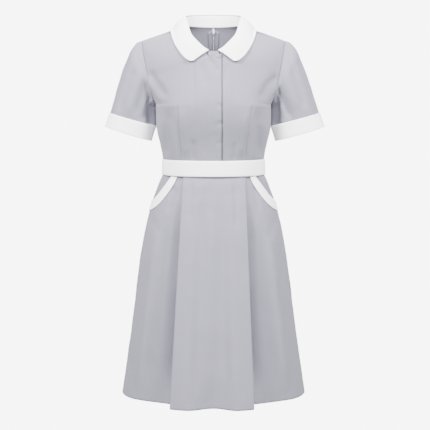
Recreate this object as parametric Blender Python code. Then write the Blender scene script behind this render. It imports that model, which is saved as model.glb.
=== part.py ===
"""A short-sleeved uniform dress, filled out as if worn: its panels, collar, cuffs, bands and zip.

Metres, +Z up. The front faces -Y and the wearer's right is on -X. The origin is the middle of the
shoulder line, where the wearer holds the dress up. A drop is a distance below that line.
"""

import math
from collections import namedtuple

import bmesh
import bpy
from mathutils import Matrix, Vector
from mathutils.bvhtree import BVHTree

# Cloth and seams
CLOTH = 0.0012
DOUBLED = 0.0018
SEAM_GAP = 0.0003
LAP_GAP = 0.0005
RIGHT, LEFT = -1, 1
SIDES = {"right": RIGHT, "left": LEFT}
X_AXIS, Y_AXIS = Vector((1, 0, 0)), Vector((0, 1, 0))

# Neck ring
NECK_HALF_WIDTH = 0.070
NECK_FRONT = 0.088
NECK_FRONT_DROP = 0.080
NECK_CURVE = 1.64
NECK_BACK = 0.060
NECK_BACK_DROP = 0.003

# Armhole ring
SHOULDER_X = 0.184
SHOULDER_DROP = 0.040
UNDERARM_X = 0.1475
UNDERARM_DROP = 0.203
ARMHOLE_FRONT = 0.048
ARMHOLE_BACK = 0.046
ARMHOLE_SKEW = 1.3
ARMHOLE_LEAN = 0.8

# Bodice
BODICE_END = 0.347
PLACKET_EDGE = 0.020
UNDERLAP = 0.012
UNDERLAP_ROOM = 0.0014
LAP_ZONE = 0.045
BACK_OPENING = 0.0006
BUST_SQUARENESS = 2.3

BodiceRow = namedtuple("BodiceRow", "drop front back half_width")
BODICE = [
    BodiceRow(0.003, 0.0760, 0.0600, 0.1800),
    BodiceRow(0.040, 0.0800, 0.0800, 0.1800),
    BodiceRow(0.080, 0.0880, 0.0930, 0.1720),
    BodiceRow(0.115, 0.1010, 0.1000, 0.1640),
    BodiceRow(0.160, 0.1165, 0.1040, 0.1550),
    BodiceRow(0.203, 0.1250, 0.1025, 0.1475),
    BodiceRow(0.225, 0.1240, 0.1005, 0.1460),
    BodiceRow(0.250, 0.1190, 0.0975, 0.1445),
    BodiceRow(0.278, 0.1110, 0.0940, 0.1415),
    BodiceRow(0.298, 0.1055, 0.0915, 0.1380),
    BodiceRow(0.320, 0.1020, 0.0895, 0.1346),
    BodiceRow(0.347, 0.0988, 0.0883, 0.1300),
]
BODICE_LOW_DROPS = [0.347, 0.325, 0.300, 0.275, 0.250, 0.226, 0.203]
FRONT_NECK_SHARE = 0.46
FRONT_HIGH_STEPS = (4, 5)
BACK_NECK_SHARE = 0.62
BACK_HIGH_STEPS = (5, 4)
BODICE_COLUMNS = 12

# Sleeves: the outer and the inner line of each, and half its depth front to back
SleeveRow = namedtuple("SleeveRow", "outer outer_drop inner inner_drop depth")
SLEEVE = [
    SleeveRow(0.1850, 0.0400, 0.1484, 0.2050, 0.0470),
    SleeveRow(0.1965, 0.0445, 0.1487, 0.2085, 0.0480),
    SleeveRow(0.2045, 0.0535, 0.1490, 0.2120, 0.0490),
    SleeveRow(0.2125, 0.0655, 0.1492, 0.2160, 0.0500),
    SleeveRow(0.2220, 0.0885, 0.1495, 0.2220, 0.0505),
    SleeveRow(0.2320, 0.1140, 0.1498, 0.2290, 0.0505),
    SleeveRow(0.2410, 0.1420, 0.1500, 0.2360, 0.0500),
    SleeveRow(0.2490, 0.1680, 0.1503, 0.2430, 0.0490),
    SleeveRow(0.2570, 0.1970, 0.1506, 0.2500, 0.0480),
    SleeveRow(0.2640, 0.2215, 0.1512, 0.2570, 0.0465),
    SleeveRow(0.2662, 0.2275, 0.1524, 0.2630, 0.0460),
]
CUFF = [
    SleeveRow(0.2669, 0.2227, 0.1482, 0.2573, 0.0496),
    SleeveRow(0.2729, 0.2410, 0.1535, 0.2768, 0.0490),
    SleeveRow(0.2784, 0.2586, 0.1588, 0.2960, 0.0484),
]
SLEEVE_SEGMENTS = 20
ARMHOLE_FADE = 0.35
ARMHOLE_CLEARANCE = 0.0009

# Collar: the angle runs round the neck from the front to the back
FoldRow = namedtuple("FoldRow", "angle drop")
COLLAR_FOLD = [
    FoldRow(9, 0.0660),
    FoldRow(22, 0.0560),
    FoldRow(31, 0.0460),
    FoldRow(41, 0.0360),
    FoldRow(50.5, 0.0260),
    FoldRow(57.4, 0.0150),
    FoldRow(68, -0.0070),
    FoldRow(80, -0.0180),
    FoldRow(90, -0.0227),
    FoldRow(120, -0.0270),
    FoldRow(150, -0.0295),
    FoldRow(180, -0.0304),
]
LeafRow = namedtuple("LeafRow", "angle across deep drop")
COLLAR_EDGE = [
    LeafRow(9, 0.0500, -0.0930, 0.0915),
    LeafRow(14, 0.0560, -0.0920, 0.0933),
    LeafRow(20, 0.0635, -0.0900, 0.0905),
    LeafRow(28, 0.0735, -0.0840, 0.0830),
    LeafRow(38, 0.0860, -0.0740, 0.0680),
    LeafRow(50, 0.0955, -0.0600, 0.0530),
    LeafRow(62, 0.1025, -0.0440, 0.0380),
    LeafRow(75, 0.1065, -0.0240, 0.0250),
    LeafRow(90, 0.1085, 0.0000, 0.0125),
    LeafRow(105, 0.1040, 0.0260, 0.0120),
    LeafRow(122, 0.0900, 0.0500, 0.0150),
    LeafRow(142, 0.0660, 0.0700, 0.0200),
    LeafRow(160, 0.0420, 0.0800, 0.0240),
    LeafRow(170, 0.0280, 0.0820, 0.0245),
    LeafRow(176, 0.0180, 0.0800, 0.0200),
    LeafRow(180, 0.0120, 0.0770, 0.0120),
]
COLLAR_ANGLES = [9, 14, 20, 28, 36, 44, 52, 60, 68, 78, 90, 103, 118, 134, 150, 162, 171, 176, 180]
COLLAR_ACROSS = 6
COLLAR_BOW = 0.0045
COLLAR_LIFT = 0.0020
STAND_TOP_ROOM = 0.0037
STAND_FOOT_ROOM = 0.0012
STAND_START = {RIGHT: 11, LEFT: 17.5}

# Neck band between the collar's ends
BAND_TOP_DROP = 0.0685
BAND_TOP_HALF = 0.0115
BAND_FOOT_RIGHT = (-0.0140, 0.0800)
BAND_FOOT_LEFT = (0.0180, 0.0860)

# Waistband
WAISTBAND_TOP = 0.3417
WAISTBAND_FOOT = 0.3820
WAISTBAND_HALF_WIDTH = (0.1334, 0.1340)
WAISTBAND_FRONT = 0.1018
WAISTBAND_COLUMNS = 60
WAISTBAND_BACK = 0.0912
WAISTBAND_OPENING = 0.0012

# Skirt
SkirtRow = namedtuple("SkirtRow", "drop half_width front back fold_lift middle_lift")
SKIRT = [
    SkirtRow(0.377, 0.1296, 0.0885, 0.0876, 0.0060, 0.0060),
    SkirtRow(0.385, 0.1330, 0.0912, 0.0888, 0.0062, 0.0061),
    SkirtRow(0.402, 0.1407, 0.0975, 0.0925, 0.0068, 0.0062),
    SkirtRow(0.423, 0.1486, 0.1020, 0.0975, 0.0076, 0.0064),
    SkirtRow(0.444, 0.1563, 0.1065, 0.1020, 0.0088, 0.0068),
    SkirtRow(0.465, 0.1629, 0.1095, 0.1060, 0.0100, 0.0072),
    SkirtRow(0.490, 0.1697, 0.1130, 0.1095, 0.0116, 0.0078),
    SkirtRow(0.527, 0.1784, 0.1175, 0.1140, 0.0140, 0.0088),
    SkirtRow(0.580, 0.1884, 0.1220, 0.1190, 0.0176, 0.0104),
    SkirtRow(0.650, 0.1985, 0.1280, 0.1250, 0.0228, 0.0130),
    SkirtRow(0.740, 0.2100, 0.1340, 0.1320, 0.0300, 0.0166),
    SkirtRow(0.850, 0.2253, 0.1400, 0.1410, 0.0396, 0.0210),
    SkirtRow(0.957, 0.2412, 0.1450, 0.1500, 0.0487, 0.0250),
]
HEM_DROP = 0.957
PLEAT_TOP = {RIGHT: 0.0762, LEFT: 0.0800}
PLEAT_HEM = {RIGHT: 0.1094, LEFT: 0.1023}
PLEAT_TUCK = 0.024
PLEAT_TURN_TOP = 0.0015
PLEAT_TURN_HEM = 0.0030
LOBE_PEAK = 0.62
SIDE_COLUMNS = 10
SIDE_FLARE = 0.004
BACK_FLARE = 0.007

# Pocket mouths: the band's lower edge and its upper edge, which is the mouth
MouthRow = namedtuple("MouthRow", "along low_x low_drop high_x high_drop")
POCKET_MOUTH = [
    MouthRow(0.00, 0.0905, 0.3830, 0.1082, 0.3830),
    MouthRow(0.25, 0.1024, 0.4067, 0.1173, 0.3970),
    MouthRow(0.50, 0.1182, 0.4295, 0.1259, 0.4105),
    MouthRow(0.75, 0.1396, 0.4555, 0.1423, 0.4328),
    MouthRow(1.00, 0.1655, 0.4764, 0.1586, 0.4505),
]
POCKET_BAND = 0.0010
BAND_ROOM = 0.0015
HIP_UNDERLAP = 0.026
HIP_FOOT = 0.492
HIP_ROOM = {RIGHT: 0.0016, LEFT: 0.0023}

# Zip
ZIP_TOP_SHARE = 0.12
ZIP_FOOT = 0.560
TAPE_WIDTH = 0.0140
TAPE = 0.0008
TAPE_ROOM = 0.0005
SLIDER_DROP = 0.0120
SLIDER_ROOM = 0.0008
PIN_HEIGHT = 0.0032
PIN_RADIUS = 0.0004
PULL_OUTLINE = [
    (0.0011, 0.0007), (0.0030, 0.0010), (0.0060, 0.0018), (0.0140, 0.0025), (0.0168, 0.0022), (0.0180, 0.0012)
]


def read(table, name, key):
    """One column of a table at a key, along a smooth curve that never overshoots its rows."""
    keys = [row[0] for row in table]
    values = [getattr(row, name) for row in table]
    if key <= keys[0]:
        return values[0]
    if key >= keys[-1]:
        return values[-1]
    rises = [(values[i + 1] - values[i]) / (keys[i + 1] - keys[i]) for i in range(len(keys) - 1)]

    def slope(i):
        if i in (0, len(keys) - 1):
            return rises[min(i, len(rises) - 1)]
        before, after = rises[i - 1], rises[i]
        return 0.0 if before * after <= 0 else 2 * before * after / (before + after)

    i = max(n for n in range(len(keys) - 1) if keys[n] <= key)
    span = keys[i + 1] - keys[i]
    t = (key - keys[i]) / span
    near = (1 + 2 * t) * (1 - t) ** 2 * values[i] + t * (1 - t) ** 2 * span * slope(i)
    far = t * t * (3 - 2 * t) * values[i + 1] + t * t * (t - 1) * span * slope(i + 1)
    return near + far


def smoothstep(t):
    t = min(max(t, 0.0), 1.0)
    return t * t * (3 - 2 * t)


def lerp(a, b, t):
    return a + (b - a) * t


def steps(count):
    return [i / count for i in range(count + 1)]


def clear_scene():
    for obj in list(bpy.data.objects):
        bpy.data.objects.remove(obj, do_unlink=True)


def finish(name, colour, roughness, metallic=0.0):
    material = bpy.data.materials.new(name)
    material.use_nodes = True
    shader = material.node_tree.nodes["Principled BSDF"]
    shader.inputs["Base Color"].default_value = (*colour, 1)
    shader.inputs["Roughness"].default_value = roughness
    shader.inputs["Metallic"].default_value = metallic
    return material


def grid_normals(grid, closed, square):
    """Outward unit normals of a grid of points. square gives an axis that an edge's normals lose."""
    rows, columns = len(grid), len(grid[0])
    normals = []
    for i in range(rows):
        line = []
        for j in range(columns):
            before, after = (j - 1, (j + 1) % columns) if closed else (max(j - 1, 0), min(j + 1, columns - 1))
            along = grid[i][after] - grid[i][before]
            down = grid[min(i + 1, rows - 1)][j] - grid[max(i - 1, 0)][j]
            line.append(along.cross(down).normalized())
        normals.append(line)
    outward = 0.0
    for row, line in zip(grid, normals):
        core = sum(row, Vector()) / columns if closed else Vector((0, 0, row[0].z))
        outward += sum(normal.dot(point - core) for point, normal in zip(row, line))
    sign = 1 if outward > 0 else -1
    for i, line in enumerate(normals):
        for j, normal in enumerate(line):
            edges = {"first": i == 0, "last": i == rows - 1, "inner": j == 0, "outer": j == columns - 1}
            for edge, axis in square.items():
                if edges[edge]:
                    normal = normal - axis * normal.dot(axis)
            line[j] = normal.normalized() * sign
    return normals


def moved_out(grid, distance, closed=False, square=None):
    normals = grid_normals(grid, closed, square or {})
    return [[p + n * distance for p, n in zip(row, line)] for row, line in zip(grid, normals)]


def wall(name, grid, thickness, material, closed=False, square=None):
    """A cloth wall whose outer face is the grid, and whose inner face lies its thickness further in."""
    inner = moved_out(grid, -thickness, closed, square)
    rows, columns = len(grid), len(grid[0])
    mesh = bmesh.new()
    layers = [[[mesh.verts.new(p) for p in row] for row in face] for face in (grid, inner)]
    turns = columns if closed else columns - 1
    for layer in layers:
        for i in range(rows - 1):
            for j in range(turns):
                k = (j + 1) % columns
                mesh.faces.new((layer[i][j], layer[i][k], layer[i + 1][k], layer[i + 1][j]))
    front, back = layers
    for i in (0, rows - 1):
        for j in range(turns):
            k = (j + 1) % columns
            mesh.faces.new((front[i][j], front[i][k], back[i][k], back[i][j]))
    if not closed:
        for j in (0, columns - 1):
            for i in range(rows - 1):
                mesh.faces.new((front[i][j], front[i + 1][j], back[i + 1][j], back[i][j]))
    return add_object(name, mesh, material)


def add_object(name, mesh, material):
    bmesh.ops.recalc_face_normals(mesh, faces=mesh.faces)
    data = bpy.data.meshes.new(name)
    mesh.to_mesh(data)
    mesh.free()
    data.materials.append(material)
    data.shade_smooth()
    data.set_sharp_from_angle(angle=math.radians(40))
    obj = bpy.data.objects.new(name, data)
    bpy.context.scene.collection.objects.link(obj)
    return obj


def neck_front(angle):
    """A point of the front neck seam, from 0 degrees at the centre to 90 at the shoulder."""
    turn = math.radians(angle)
    drop = NECK_FRONT_DROP * max(math.cos(turn), 0) ** NECK_CURVE
    return Vector((NECK_HALF_WIDTH * math.sin(turn), -NECK_FRONT * math.cos(turn), -drop))


def neck_back(angle):
    turn = math.radians(angle)
    drop = NECK_BACK_DROP * max(math.cos(turn), 0) ** NECK_CURVE
    return Vector((NECK_HALF_WIDTH * math.sin(turn), NECK_BACK * math.cos(turn), -drop))


def armhole(angle, depth):
    """A point of the armhole seam, from 0 degrees at the shoulder to 180 at the underarm."""
    middle = (SHOULDER_DROP + UNDERARM_DROP) / 2
    reach = (UNDERARM_DROP - SHOULDER_DROP) / 2
    drop = middle - reach * math.cos(math.radians(angle))
    height = (UNDERARM_DROP - drop) / (UNDERARM_DROP - SHOULDER_DROP)
    across = UNDERARM_X + (SHOULDER_X - UNDERARM_X) * max(height, 0) ** ARMHOLE_LEAN
    return Vector((across, depth * math.sin(math.pi * (angle / 180) ** ARMHOLE_SKEW), -drop))


def arc_row(start, end, square, columns):
    """Points from start to end along the rounded section, centred on the body's axis, through both."""
    near, far = abs(start.y), abs(end.y)
    if near < 1e-5:
        return [start.lerp(end, t) for t in steps(columns)]
    share = (far / near) ** square
    width = ((abs(end.x) ** square - share * abs(start.x) ** square) / (1 - share)) ** (1 / square)
    depth = near / (1 - (abs(start.x) / width) ** square) ** (1 / square)

    def turn_of(x):
        return math.copysign(math.asin(min((abs(x) / width) ** (square / 2), 1.0)), x)

    first, last = turn_of(start.x), turn_of(end.x)
    row = []
    for t in steps(columns):
        turn = lerp(first, last, t)
        x = math.copysign(width * abs(math.sin(turn)) ** (2 / square), turn)
        y = math.copysign(depth * max(math.cos(turn), 0) ** (2 / square), start.y)
        rise = (x - start.x) / (end.x - start.x)
        row.append(Vector((x, y, lerp(start.z, end.z, rise))))
    row[-1] = end.copy()
    return row


def bodice_panel(side, facing, edge):
    """The outer face of a bodice panel, waist to shoulder. facing is -1 in front, 1 behind."""
    column = "front" if facing < 0 else "back"
    depth = ARMHOLE_FRONT if facing < 0 else ARMHOLE_BACK
    neck = neck_front if facing < 0 else neck_back
    start_angle = math.degrees(math.asin(edge / NECK_HALF_WIDTH))
    neck_drop = -neck(abs(start_angle)).z
    share = FRONT_NECK_SHARE if facing < 0 else BACK_NECK_SHARE
    below, above = FRONT_HIGH_STEPS if facing < 0 else BACK_HIGH_STEPS
    high = [share * t for t in steps(below)[1:]] + [lerp(share, 1, t) for t in steps(above)[1:]]
    grid = []
    for drop in BODICE_LOW_DROPS:
        width = read(BODICE, "half_width", drop)
        reach = (1 - (abs(edge) / width) ** 2) ** 0.5
        start = Vector((edge, facing * read(BODICE, column, drop) * reach, -drop))
        end = Vector((width, facing * SEAM_GAP / 2, -drop))
        bust = smoothstep((BODICE_END - drop) / 0.1)
        grid.append(arc_row(start, end, lerp(2.0, BUST_SQUARENESS, bust), BODICE_COLUMNS))
    for t in high:
        end = armhole(180 * (1 - t), facing * depth)
        end.y = facing * max(abs(end.y), SEAM_GAP / 2)
        if t <= share:
            drop = lerp(UNDERARM_DROP, neck_drop, t / share)
            width = read(BODICE, "half_width", drop)
            reach = (1 - (abs(edge) / width) ** 2) ** 0.5
            start = Vector((edge, facing * read(BODICE, column, drop) * reach, -drop))
        else:
            start = neck(lerp(start_angle, 90, (t - share) / (1 - share)))
            start.y = facing * max(abs(start.y), SEAM_GAP / 2)
        if t == 1:
            start = Vector((NECK_HALF_WIDTH, facing * SEAM_GAP / 2, 0))
            end = Vector((SHOULDER_X, facing * SEAM_GAP / 2, -SHOULDER_DROP))
            grid.append([start.lerp(end, s) for s in steps(BODICE_COLUMNS)])
        else:
            grid.append(arc_row(start, end, lerp(BUST_SQUARENESS, 2.0, t), BODICE_COLUMNS))
    return [[Vector((p.x * side, p.y, p.z)) for p in row] for row in grid]


def on_one_surface(grid, tree):
    """Both fronts follow one surface where they lap."""
    for row in grid:
        for point in row:
            spot = tree.ray_cast(Vector((point.x, -1, point.z)), Y_AXIS)[0]
            if abs(point.x) < LAP_ZONE and spot and abs(spot.y - point.y) < 0.01:
                point.y = spot.y
    return grid


def set_under(grid):
    """The left front's overlapped strip, set behind the right front."""
    inset = CLOTH + UNDERLAP_ROOM
    return [
        [p + Y_AXIS * inset * (1 - smoothstep((p.x - PLACKET_EDGE - 0.0012) / 0.012)) for p in row]
        for row in grid
    ]


def make_bodice(cloth):
    whole = surface_tree([bodice_panel(side, -1, 0.0) for side in (RIGHT, LEFT)])
    right = on_one_surface(bodice_panel(RIGHT, -1, -PLACKET_EDGE), whole)
    left = set_under(on_one_surface(bodice_panel(LEFT, -1, -UNDERLAP), whole))
    seams = {"outer": Y_AXIS, "last": Y_AXIS}
    wall("bodice_front_right", right, CLOTH, cloth, square=seams)
    wall("bodice_front_left", left, CLOTH, cloth, square=seams)
    backs = {}
    for name, side in SIDES.items():
        back = bodice_panel(side, 1, BACK_OPENING)
        wall(f"bodice_back_{name}", back, CLOTH, cloth, square={**seams, "inner": X_AXIS})
        backs[side] = back
    return [right, left], backs


def surface_tree(grids):
    """The faces of several grids, for finding the nearest point of them all."""
    points, quads = [], []
    for grid in grids:
        base, columns = len(points), len(grid[0])
        points += [p for row in grid for p in row]
        for i in range(len(grid) - 1):
            for j in range(columns - 1):
                corner = base + i * columns + j
                quads.append((corner, corner + 1, corner + columns + 1, corner + columns))
    return BVHTree.FromPolygons(points, quads)


def kept_clear(point, tree, clearance):
    """The point, moved away from the body's axis until it is this far outside the surface."""
    spot, normal, _, _ = tree.find_nearest(point)
    if normal.dot(Vector((spot.x, spot.y, 0.03))) < 0:
        normal = -normal
    short = clearance - (point - spot).dot(normal)
    return point + normal * short if short > 0 else point


def fold_point(angle):
    turn = math.radians(angle)
    deep = -(NECK_FRONT + 0.001) * math.cos(turn) if angle < 90 else -(NECK_BACK - 0.002) * math.cos(turn)
    across = max(NECK_HALF_WIDTH * math.sin(turn), BACK_OPENING)
    return Vector((across, deep, -read(COLLAR_FOLD, "drop", angle)))


def neck_point(angle):
    point = neck_front(angle) if angle <= 90 else neck_back(180 - angle)
    point.x = max(point.x, BACK_OPENING)
    return point


def collar_leaf(side, tree):
    grid = []
    for angle in COLLAR_ANGLES:
        fold = fold_point(angle)
        edge = Vector([read(COLLAR_EDGE, name, angle) for name in ("across", "deep", "drop")])
        edge.z = -edge.z
        out = Vector((fold.x, fold.y, 0)).normalized() + Vector((0, 0, 0.7))
        line = []
        for t in steps(COLLAR_ACROSS):
            bow = COLLAR_BOW * 4 * t * (1 - t) * (1.4 - 0.8 * t)
            point = fold.lerp(edge, t) + out.normalized() * bow
            mirrored = Vector((point.x * side, point.y, point.z))
            line.append(kept_clear(mirrored, tree, DOUBLED + COLLAR_LIFT) if t > 0.3 else mirrored)
        grid.append(line)
    return grid


def collar_stand(side):
    grid = []
    start = STAND_START[side]
    for angle in [start] + [a for a in COLLAR_ANGLES if a > start + 2]:
        foot, top = neck_point(angle), fold_point(angle)
        up = (top - foot).normalized()
        ends = foot + up * STAND_FOOT_ROOM, top - up * STAND_TOP_ROOM
        grid.append([ends[0].lerp(ends[1], t) for t in steps(2)])
    return [[Vector((p.x * side, p.y, p.z)) for p in row] for row in grid]


def make_collar(tree, white):
    for name, side in SIDES.items():
        wall(f"collar_{name}", collar_leaf(side, tree), DOUBLED, white, square={"last": X_AXIS})
        wall(f"collar_stand_{name}", collar_stand(side), CLOTH, white, square={"last": X_AXIS})


def make_neck_band(cloth):
    top = [Vector((x, 0, -BAND_TOP_DROP)) for x in (-BAND_TOP_HALF, BAND_TOP_HALF)]
    foot = [Vector((x, 0, -drop)) for x, drop in (BAND_FOOT_RIGHT, BAND_FOOT_LEFT)]
    grid = []
    for t in steps(4):
        ends = [top[i].lerp(foot[i], t) for i in (0, 1)]
        row = []
        for s in steps(6):
            point = ends[0].lerp(ends[1], s)
            depth = read(BODICE, "front", -point.z) + CLOTH + LAP_GAP
            row.append(Vector((point.x, -depth * (1 - (point.x / 0.170) ** 2) ** 0.5, point.z)))
        grid.append(row)
    wall("neck_band", grid, CLOTH, cloth)


def armhole_ring(angle, side):
    """The armhole seam all the way round, with the front at 90 degrees and the back at 270."""
    front = angle <= 180
    depth = -ARMHOLE_FRONT if front else ARMHOLE_BACK
    point = armhole(angle if front else 360 - angle, depth)
    away = Vector((1, 0, -0.25)).normalized()
    point += away * ARMHOLE_CLEARANCE
    return Vector((point.x * side, point.y, point.z))


def sleeve_ring(row, angle, side):
    turn = math.radians(angle)
    outer = Vector((row.outer, 0, -row.outer_drop))
    inner = Vector((row.inner, 0, -row.inner_drop))
    point = (outer + inner) / 2 + (outer - inner) / 2 * math.cos(turn)
    point.y = -row.depth * math.sin(turn)
    return Vector((point.x * side, point.y, point.z))


def sleeve_grid(rows, side, joined):
    angles = [360 * i / SLEEVE_SEGMENTS for i in range(SLEEVE_SEGMENTS)]
    grid = []
    for number, row in enumerate(rows):
        hold = joined * (1 - smoothstep(number / (len(rows) - 1) / ARMHOLE_FADE))
        ring = []
        for angle in angles:
            shift = armhole_ring(angle, side) - sleeve_ring(rows[0], angle, side)
            ring.append(sleeve_ring(row, angle, side) + shift * hold)
        grid.append(ring)
    return grid


def make_sleeves(cloth, white):
    for name, side in SIDES.items():
        wall(f"sleeve_{name}", sleeve_grid(SLEEVE, side, 1), CLOTH, cloth, closed=True)
        wall(f"cuff_{name}", sleeve_grid(CUFF, side, 0), DOUBLED, white, closed=True)


def make_waistband(white):
    first = math.degrees(math.asin(WAISTBAND_OPENING / WAISTBAND_HALF_WIDTH[0]))
    grid = []
    for t in steps(2):
        width = lerp(*WAISTBAND_HALF_WIDTH, t)
        row = []
        for s in steps(WAISTBAND_COLUMNS):
            turn = math.radians(lerp(first, 360 - first, s))
            depth = WAISTBAND_BACK if math.cos(turn) > 0 else WAISTBAND_FRONT
            z = -lerp(WAISTBAND_TOP, WAISTBAND_FOOT, t)
            row.append(Vector((width * math.sin(turn), depth * math.cos(turn), z)))
        grid.append(row)
    wall("waistband", grid, DOUBLED, white, square={"inner": X_AXIS, "outer": X_AXIS})


def fall(drop):
    """How far down the skirt a drop is, from 0 at the waistband to 1 at the hem."""
    return (drop - SKIRT[0].drop) / (HEM_DROP - SKIRT[0].drop)


def skirt_base(x, drop, facing):
    """The plain flared section at one height, with the pleats left out."""
    width = read(SKIRT, "half_width", drop)
    depth = read(SKIRT, "front" if facing < 0 else "back", drop)
    turn = math.asin(min(abs(x) / width, 1.0))
    size = SIDE_FLARE if facing < 0 else BACK_FLARE
    flare = size * fall(drop) ** 2 * math.sin(2 * turn) * math.sin(7 * turn)
    y = facing * (depth * math.cos(turn) + flare)
    return Vector((math.copysign(width * math.sin(turn), x), y, -drop))


def pleat_fold(side, drop):
    return lerp(PLEAT_TOP[side], PLEAT_HEM[side], max(fall(drop), 0))


def fold_path(side, drop):
    """Half of the skirt front's section: pairs of distance across and lift, centre to inner fold."""
    fold = pleat_fold(side, drop)
    radius = lerp(PLEAT_TURN_TOP, PLEAT_TURN_HEM, fall(drop))
    high = read(SKIRT, "fold_lift", drop)
    middle = read(SKIRT, "middle_lift", drop)
    path = []
    for t in steps(7):
        x = (fold - radius) * t
        path.append((x, lerp(middle, high, smoothstep(x / fold / LOBE_PEAK))))
    outer = Vector((fold - radius, high - radius))
    inner = Vector((fold - PLEAT_TUCK + radius, radius))
    between = inner - outer
    toward = math.atan2(between.y, between.x) % math.tau
    end = toward + math.acos(2 * radius / between.length)
    for t in steps(4)[1:]:
        angle = lerp(math.pi / 2, end - math.tau, t)
        path.append((outer.x + radius * math.cos(angle), outer.y + radius * math.sin(angle)))
    for t in steps(4):
        angle = lerp(end - math.pi, 1.5 * math.pi, t)
        path.append((inner.x + radius * math.cos(angle), inner.y + radius * math.sin(angle)))
    return path


def mouth_x(drop):
    """Where the pocket mouth cuts the skirt front at one height, or None below the mouth."""
    rows = POCKET_MOUTH
    if drop >= rows[-1].high_drop:
        return None
    upper = [namedtuple("Cut", "drop x")(row.high_drop, row.high_x) for row in rows]
    slant = (rows[1].high_x - rows[0].high_x) / (rows[1].high_drop - rows[0].high_drop)
    if drop < rows[0].high_drop:
        return rows[0].high_x - slant * (rows[0].high_drop - drop)
    return read(upper, "x", drop)


def front_half(side, drop):
    """The skirt front's section at one height, from the centre to the side seam or pocket mouth."""
    points = []
    for x, lift in fold_path(side, drop):
        base = skirt_base(x, drop, -1)
        points.append(Vector((base.x, base.y - lift, base.z)))
    width = read(SKIRT, "half_width", drop)
    cut = mouth_x(drop)
    start = math.asin(points[-1].x / width)
    stop = math.asin(min((cut or width) / width, 1.0))
    for t in steps(SIDE_COLUMNS)[1:]:
        point = skirt_base(width * math.sin(lerp(start, stop, t)), drop, -1)
        point.y = min(point.y, -SEAM_GAP / 2)
        points.append(point)
    return [Vector((p.x * side, p.y, p.z)) for p in points]


def make_skirt(cloth):
    drops = [row.drop for row in SKIRT]
    grid = []
    for drop in drops:
        right = front_half(RIGHT, drop)
        left = front_half(LEFT, drop)
        grid.append(right[:0:-1] + left)
    wall("skirt_front", grid, CLOTH, cloth, square={"inner": Y_AXIS, "outer": Y_AXIS})
    backs = {}
    for name, side in SIDES.items():
        back = []
        for drop in drops:
            width = read(SKIRT, "half_width", drop)
            start = math.asin(BACK_OPENING / width)
            row = [skirt_base(width * math.sin(lerp(start, math.pi / 2, t)), drop, 1) for t in steps(13)]
            back.append([Vector((p.x * side, max(p.y, SEAM_GAP / 2), p.z)) for p in row])
        wall(f"skirt_back_{name}", back, CLOTH, cloth, square={"inner": X_AXIS, "outer": Y_AXIS})
        backs[side] = back
    return backs


def on_skirt(x, drop, lift):
    """A point on the skirt front's side panel, moved out by the lift."""
    width = read(SKIRT, "half_width", drop)
    depth = read(SKIRT, "front", drop)
    turn = math.asin(min(abs(x) / width, 1.0))
    base = skirt_base(width * math.sin(turn), drop, -1)
    out = Vector((math.sin(turn) * depth, -math.cos(turn) * width, 0)).normalized()
    return base + out * lift


def make_pockets(cloth, white):
    for name, side in SIDES.items():
        inset = CLOTH + HIP_ROOM[side]
        hip = []
        for drop in (row.drop for row in SKIRT if row.drop < HIP_FOOT):
            width = read(SKIRT, "half_width", drop)
            cut = mouth_x(drop) or width
            start = math.asin((cut - HIP_UNDERLAP) / width)
            row = []
            for t in steps(7):
                point = on_skirt(width * math.sin(lerp(start, math.pi / 2, t)), drop, -inset)
                row.append(Vector((point.x * side, min(point.y, -SEAM_GAP / 2), point.z)))
            hip.append(row)
        wall(f"hip_panel_{name}", hip, CLOTH, cloth, square={"outer": Y_AXIS})
        band = []
        for along in steps(10):
            low = [read(POCKET_MOUTH, column, along) for column in ("low_x", "low_drop")]
            high = [read(POCKET_MOUTH, column, along) for column in ("high_x", "high_drop")]
            row = []
            for t in steps(3):
                x, drop = lerp(low[0], high[0], t), lerp(low[1], high[1], t)
                point = on_skirt(x, drop, POCKET_BAND + BAND_ROOM)
                row.append(Vector((point.x * side, min(point.y, -SEAM_GAP / 2), point.z)))
            band.append(row)
        wall(f"pocket_band_{name}", band, POCKET_BAND, white, square={"last": Y_AXIS})


def back_frame(column, drop):
    """Matrix of a point of the centre back: X across, Y down along the cloth, Z out from it."""
    lower, upper = next(pair for pair in zip(column, column[1:]) if pair[1].z >= -drop >= pair[0].z)
    down = Vector((0, lower.y - upper.y, lower.z - upper.z)).normalized()
    out = X_AXIS.cross(down)
    if out.y < 0:
        out = -out
    spot = upper.lerp(lower, (upper.z + drop) / (upper.z - lower.z))
    frame = Matrix((X_AXIS, down, out)).transposed().to_4x4()
    frame.translation = Vector((0, spot.y, -drop))
    return frame


def make_zip_tapes(bodice_backs, skirt_backs, cloth):
    """Each tape follows the inner edge of its back panels, from just under the neck seam."""
    for name, side in SIDES.items():
        rows = [row for row in reversed(bodice_backs[side]) if abs(row[0].x) <= BACK_OPENING + 1e-6]
        rows += [row for row in skirt_backs[side] if -row[0].z < ZIP_FOOT]
        strip = []
        for row in rows:
            share = (TAPE_WIDTH - BACK_OPENING) / abs(row[1].x - row[0].x)
            strip.append([row[0], row[0].lerp(row[1], share / 2), row[0].lerp(row[1], share)])
        strip[0] = [a.lerp(b, ZIP_TOP_SHARE) for a, b in zip(strip[0], strip[1])]
        inside = moved_out(strip, -(CLOTH + TAPE_ROOM), square={"inner": X_AXIS})
        wall(f"zip_tape_{name}", inside, TAPE, cloth, square={"inner": X_AXIS})


def box(mesh, x, y, z):
    corners = [mesh.verts.new((a, b, c)) for a in x for b in y for c in z]
    for face in ((0, 1, 3, 2), (4, 6, 7, 5), (0, 4, 5, 1), (2, 3, 7, 6), (0, 2, 6, 4), (1, 5, 7, 3)):
        mesh.faces.new([corners[i] for i in face])


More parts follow.
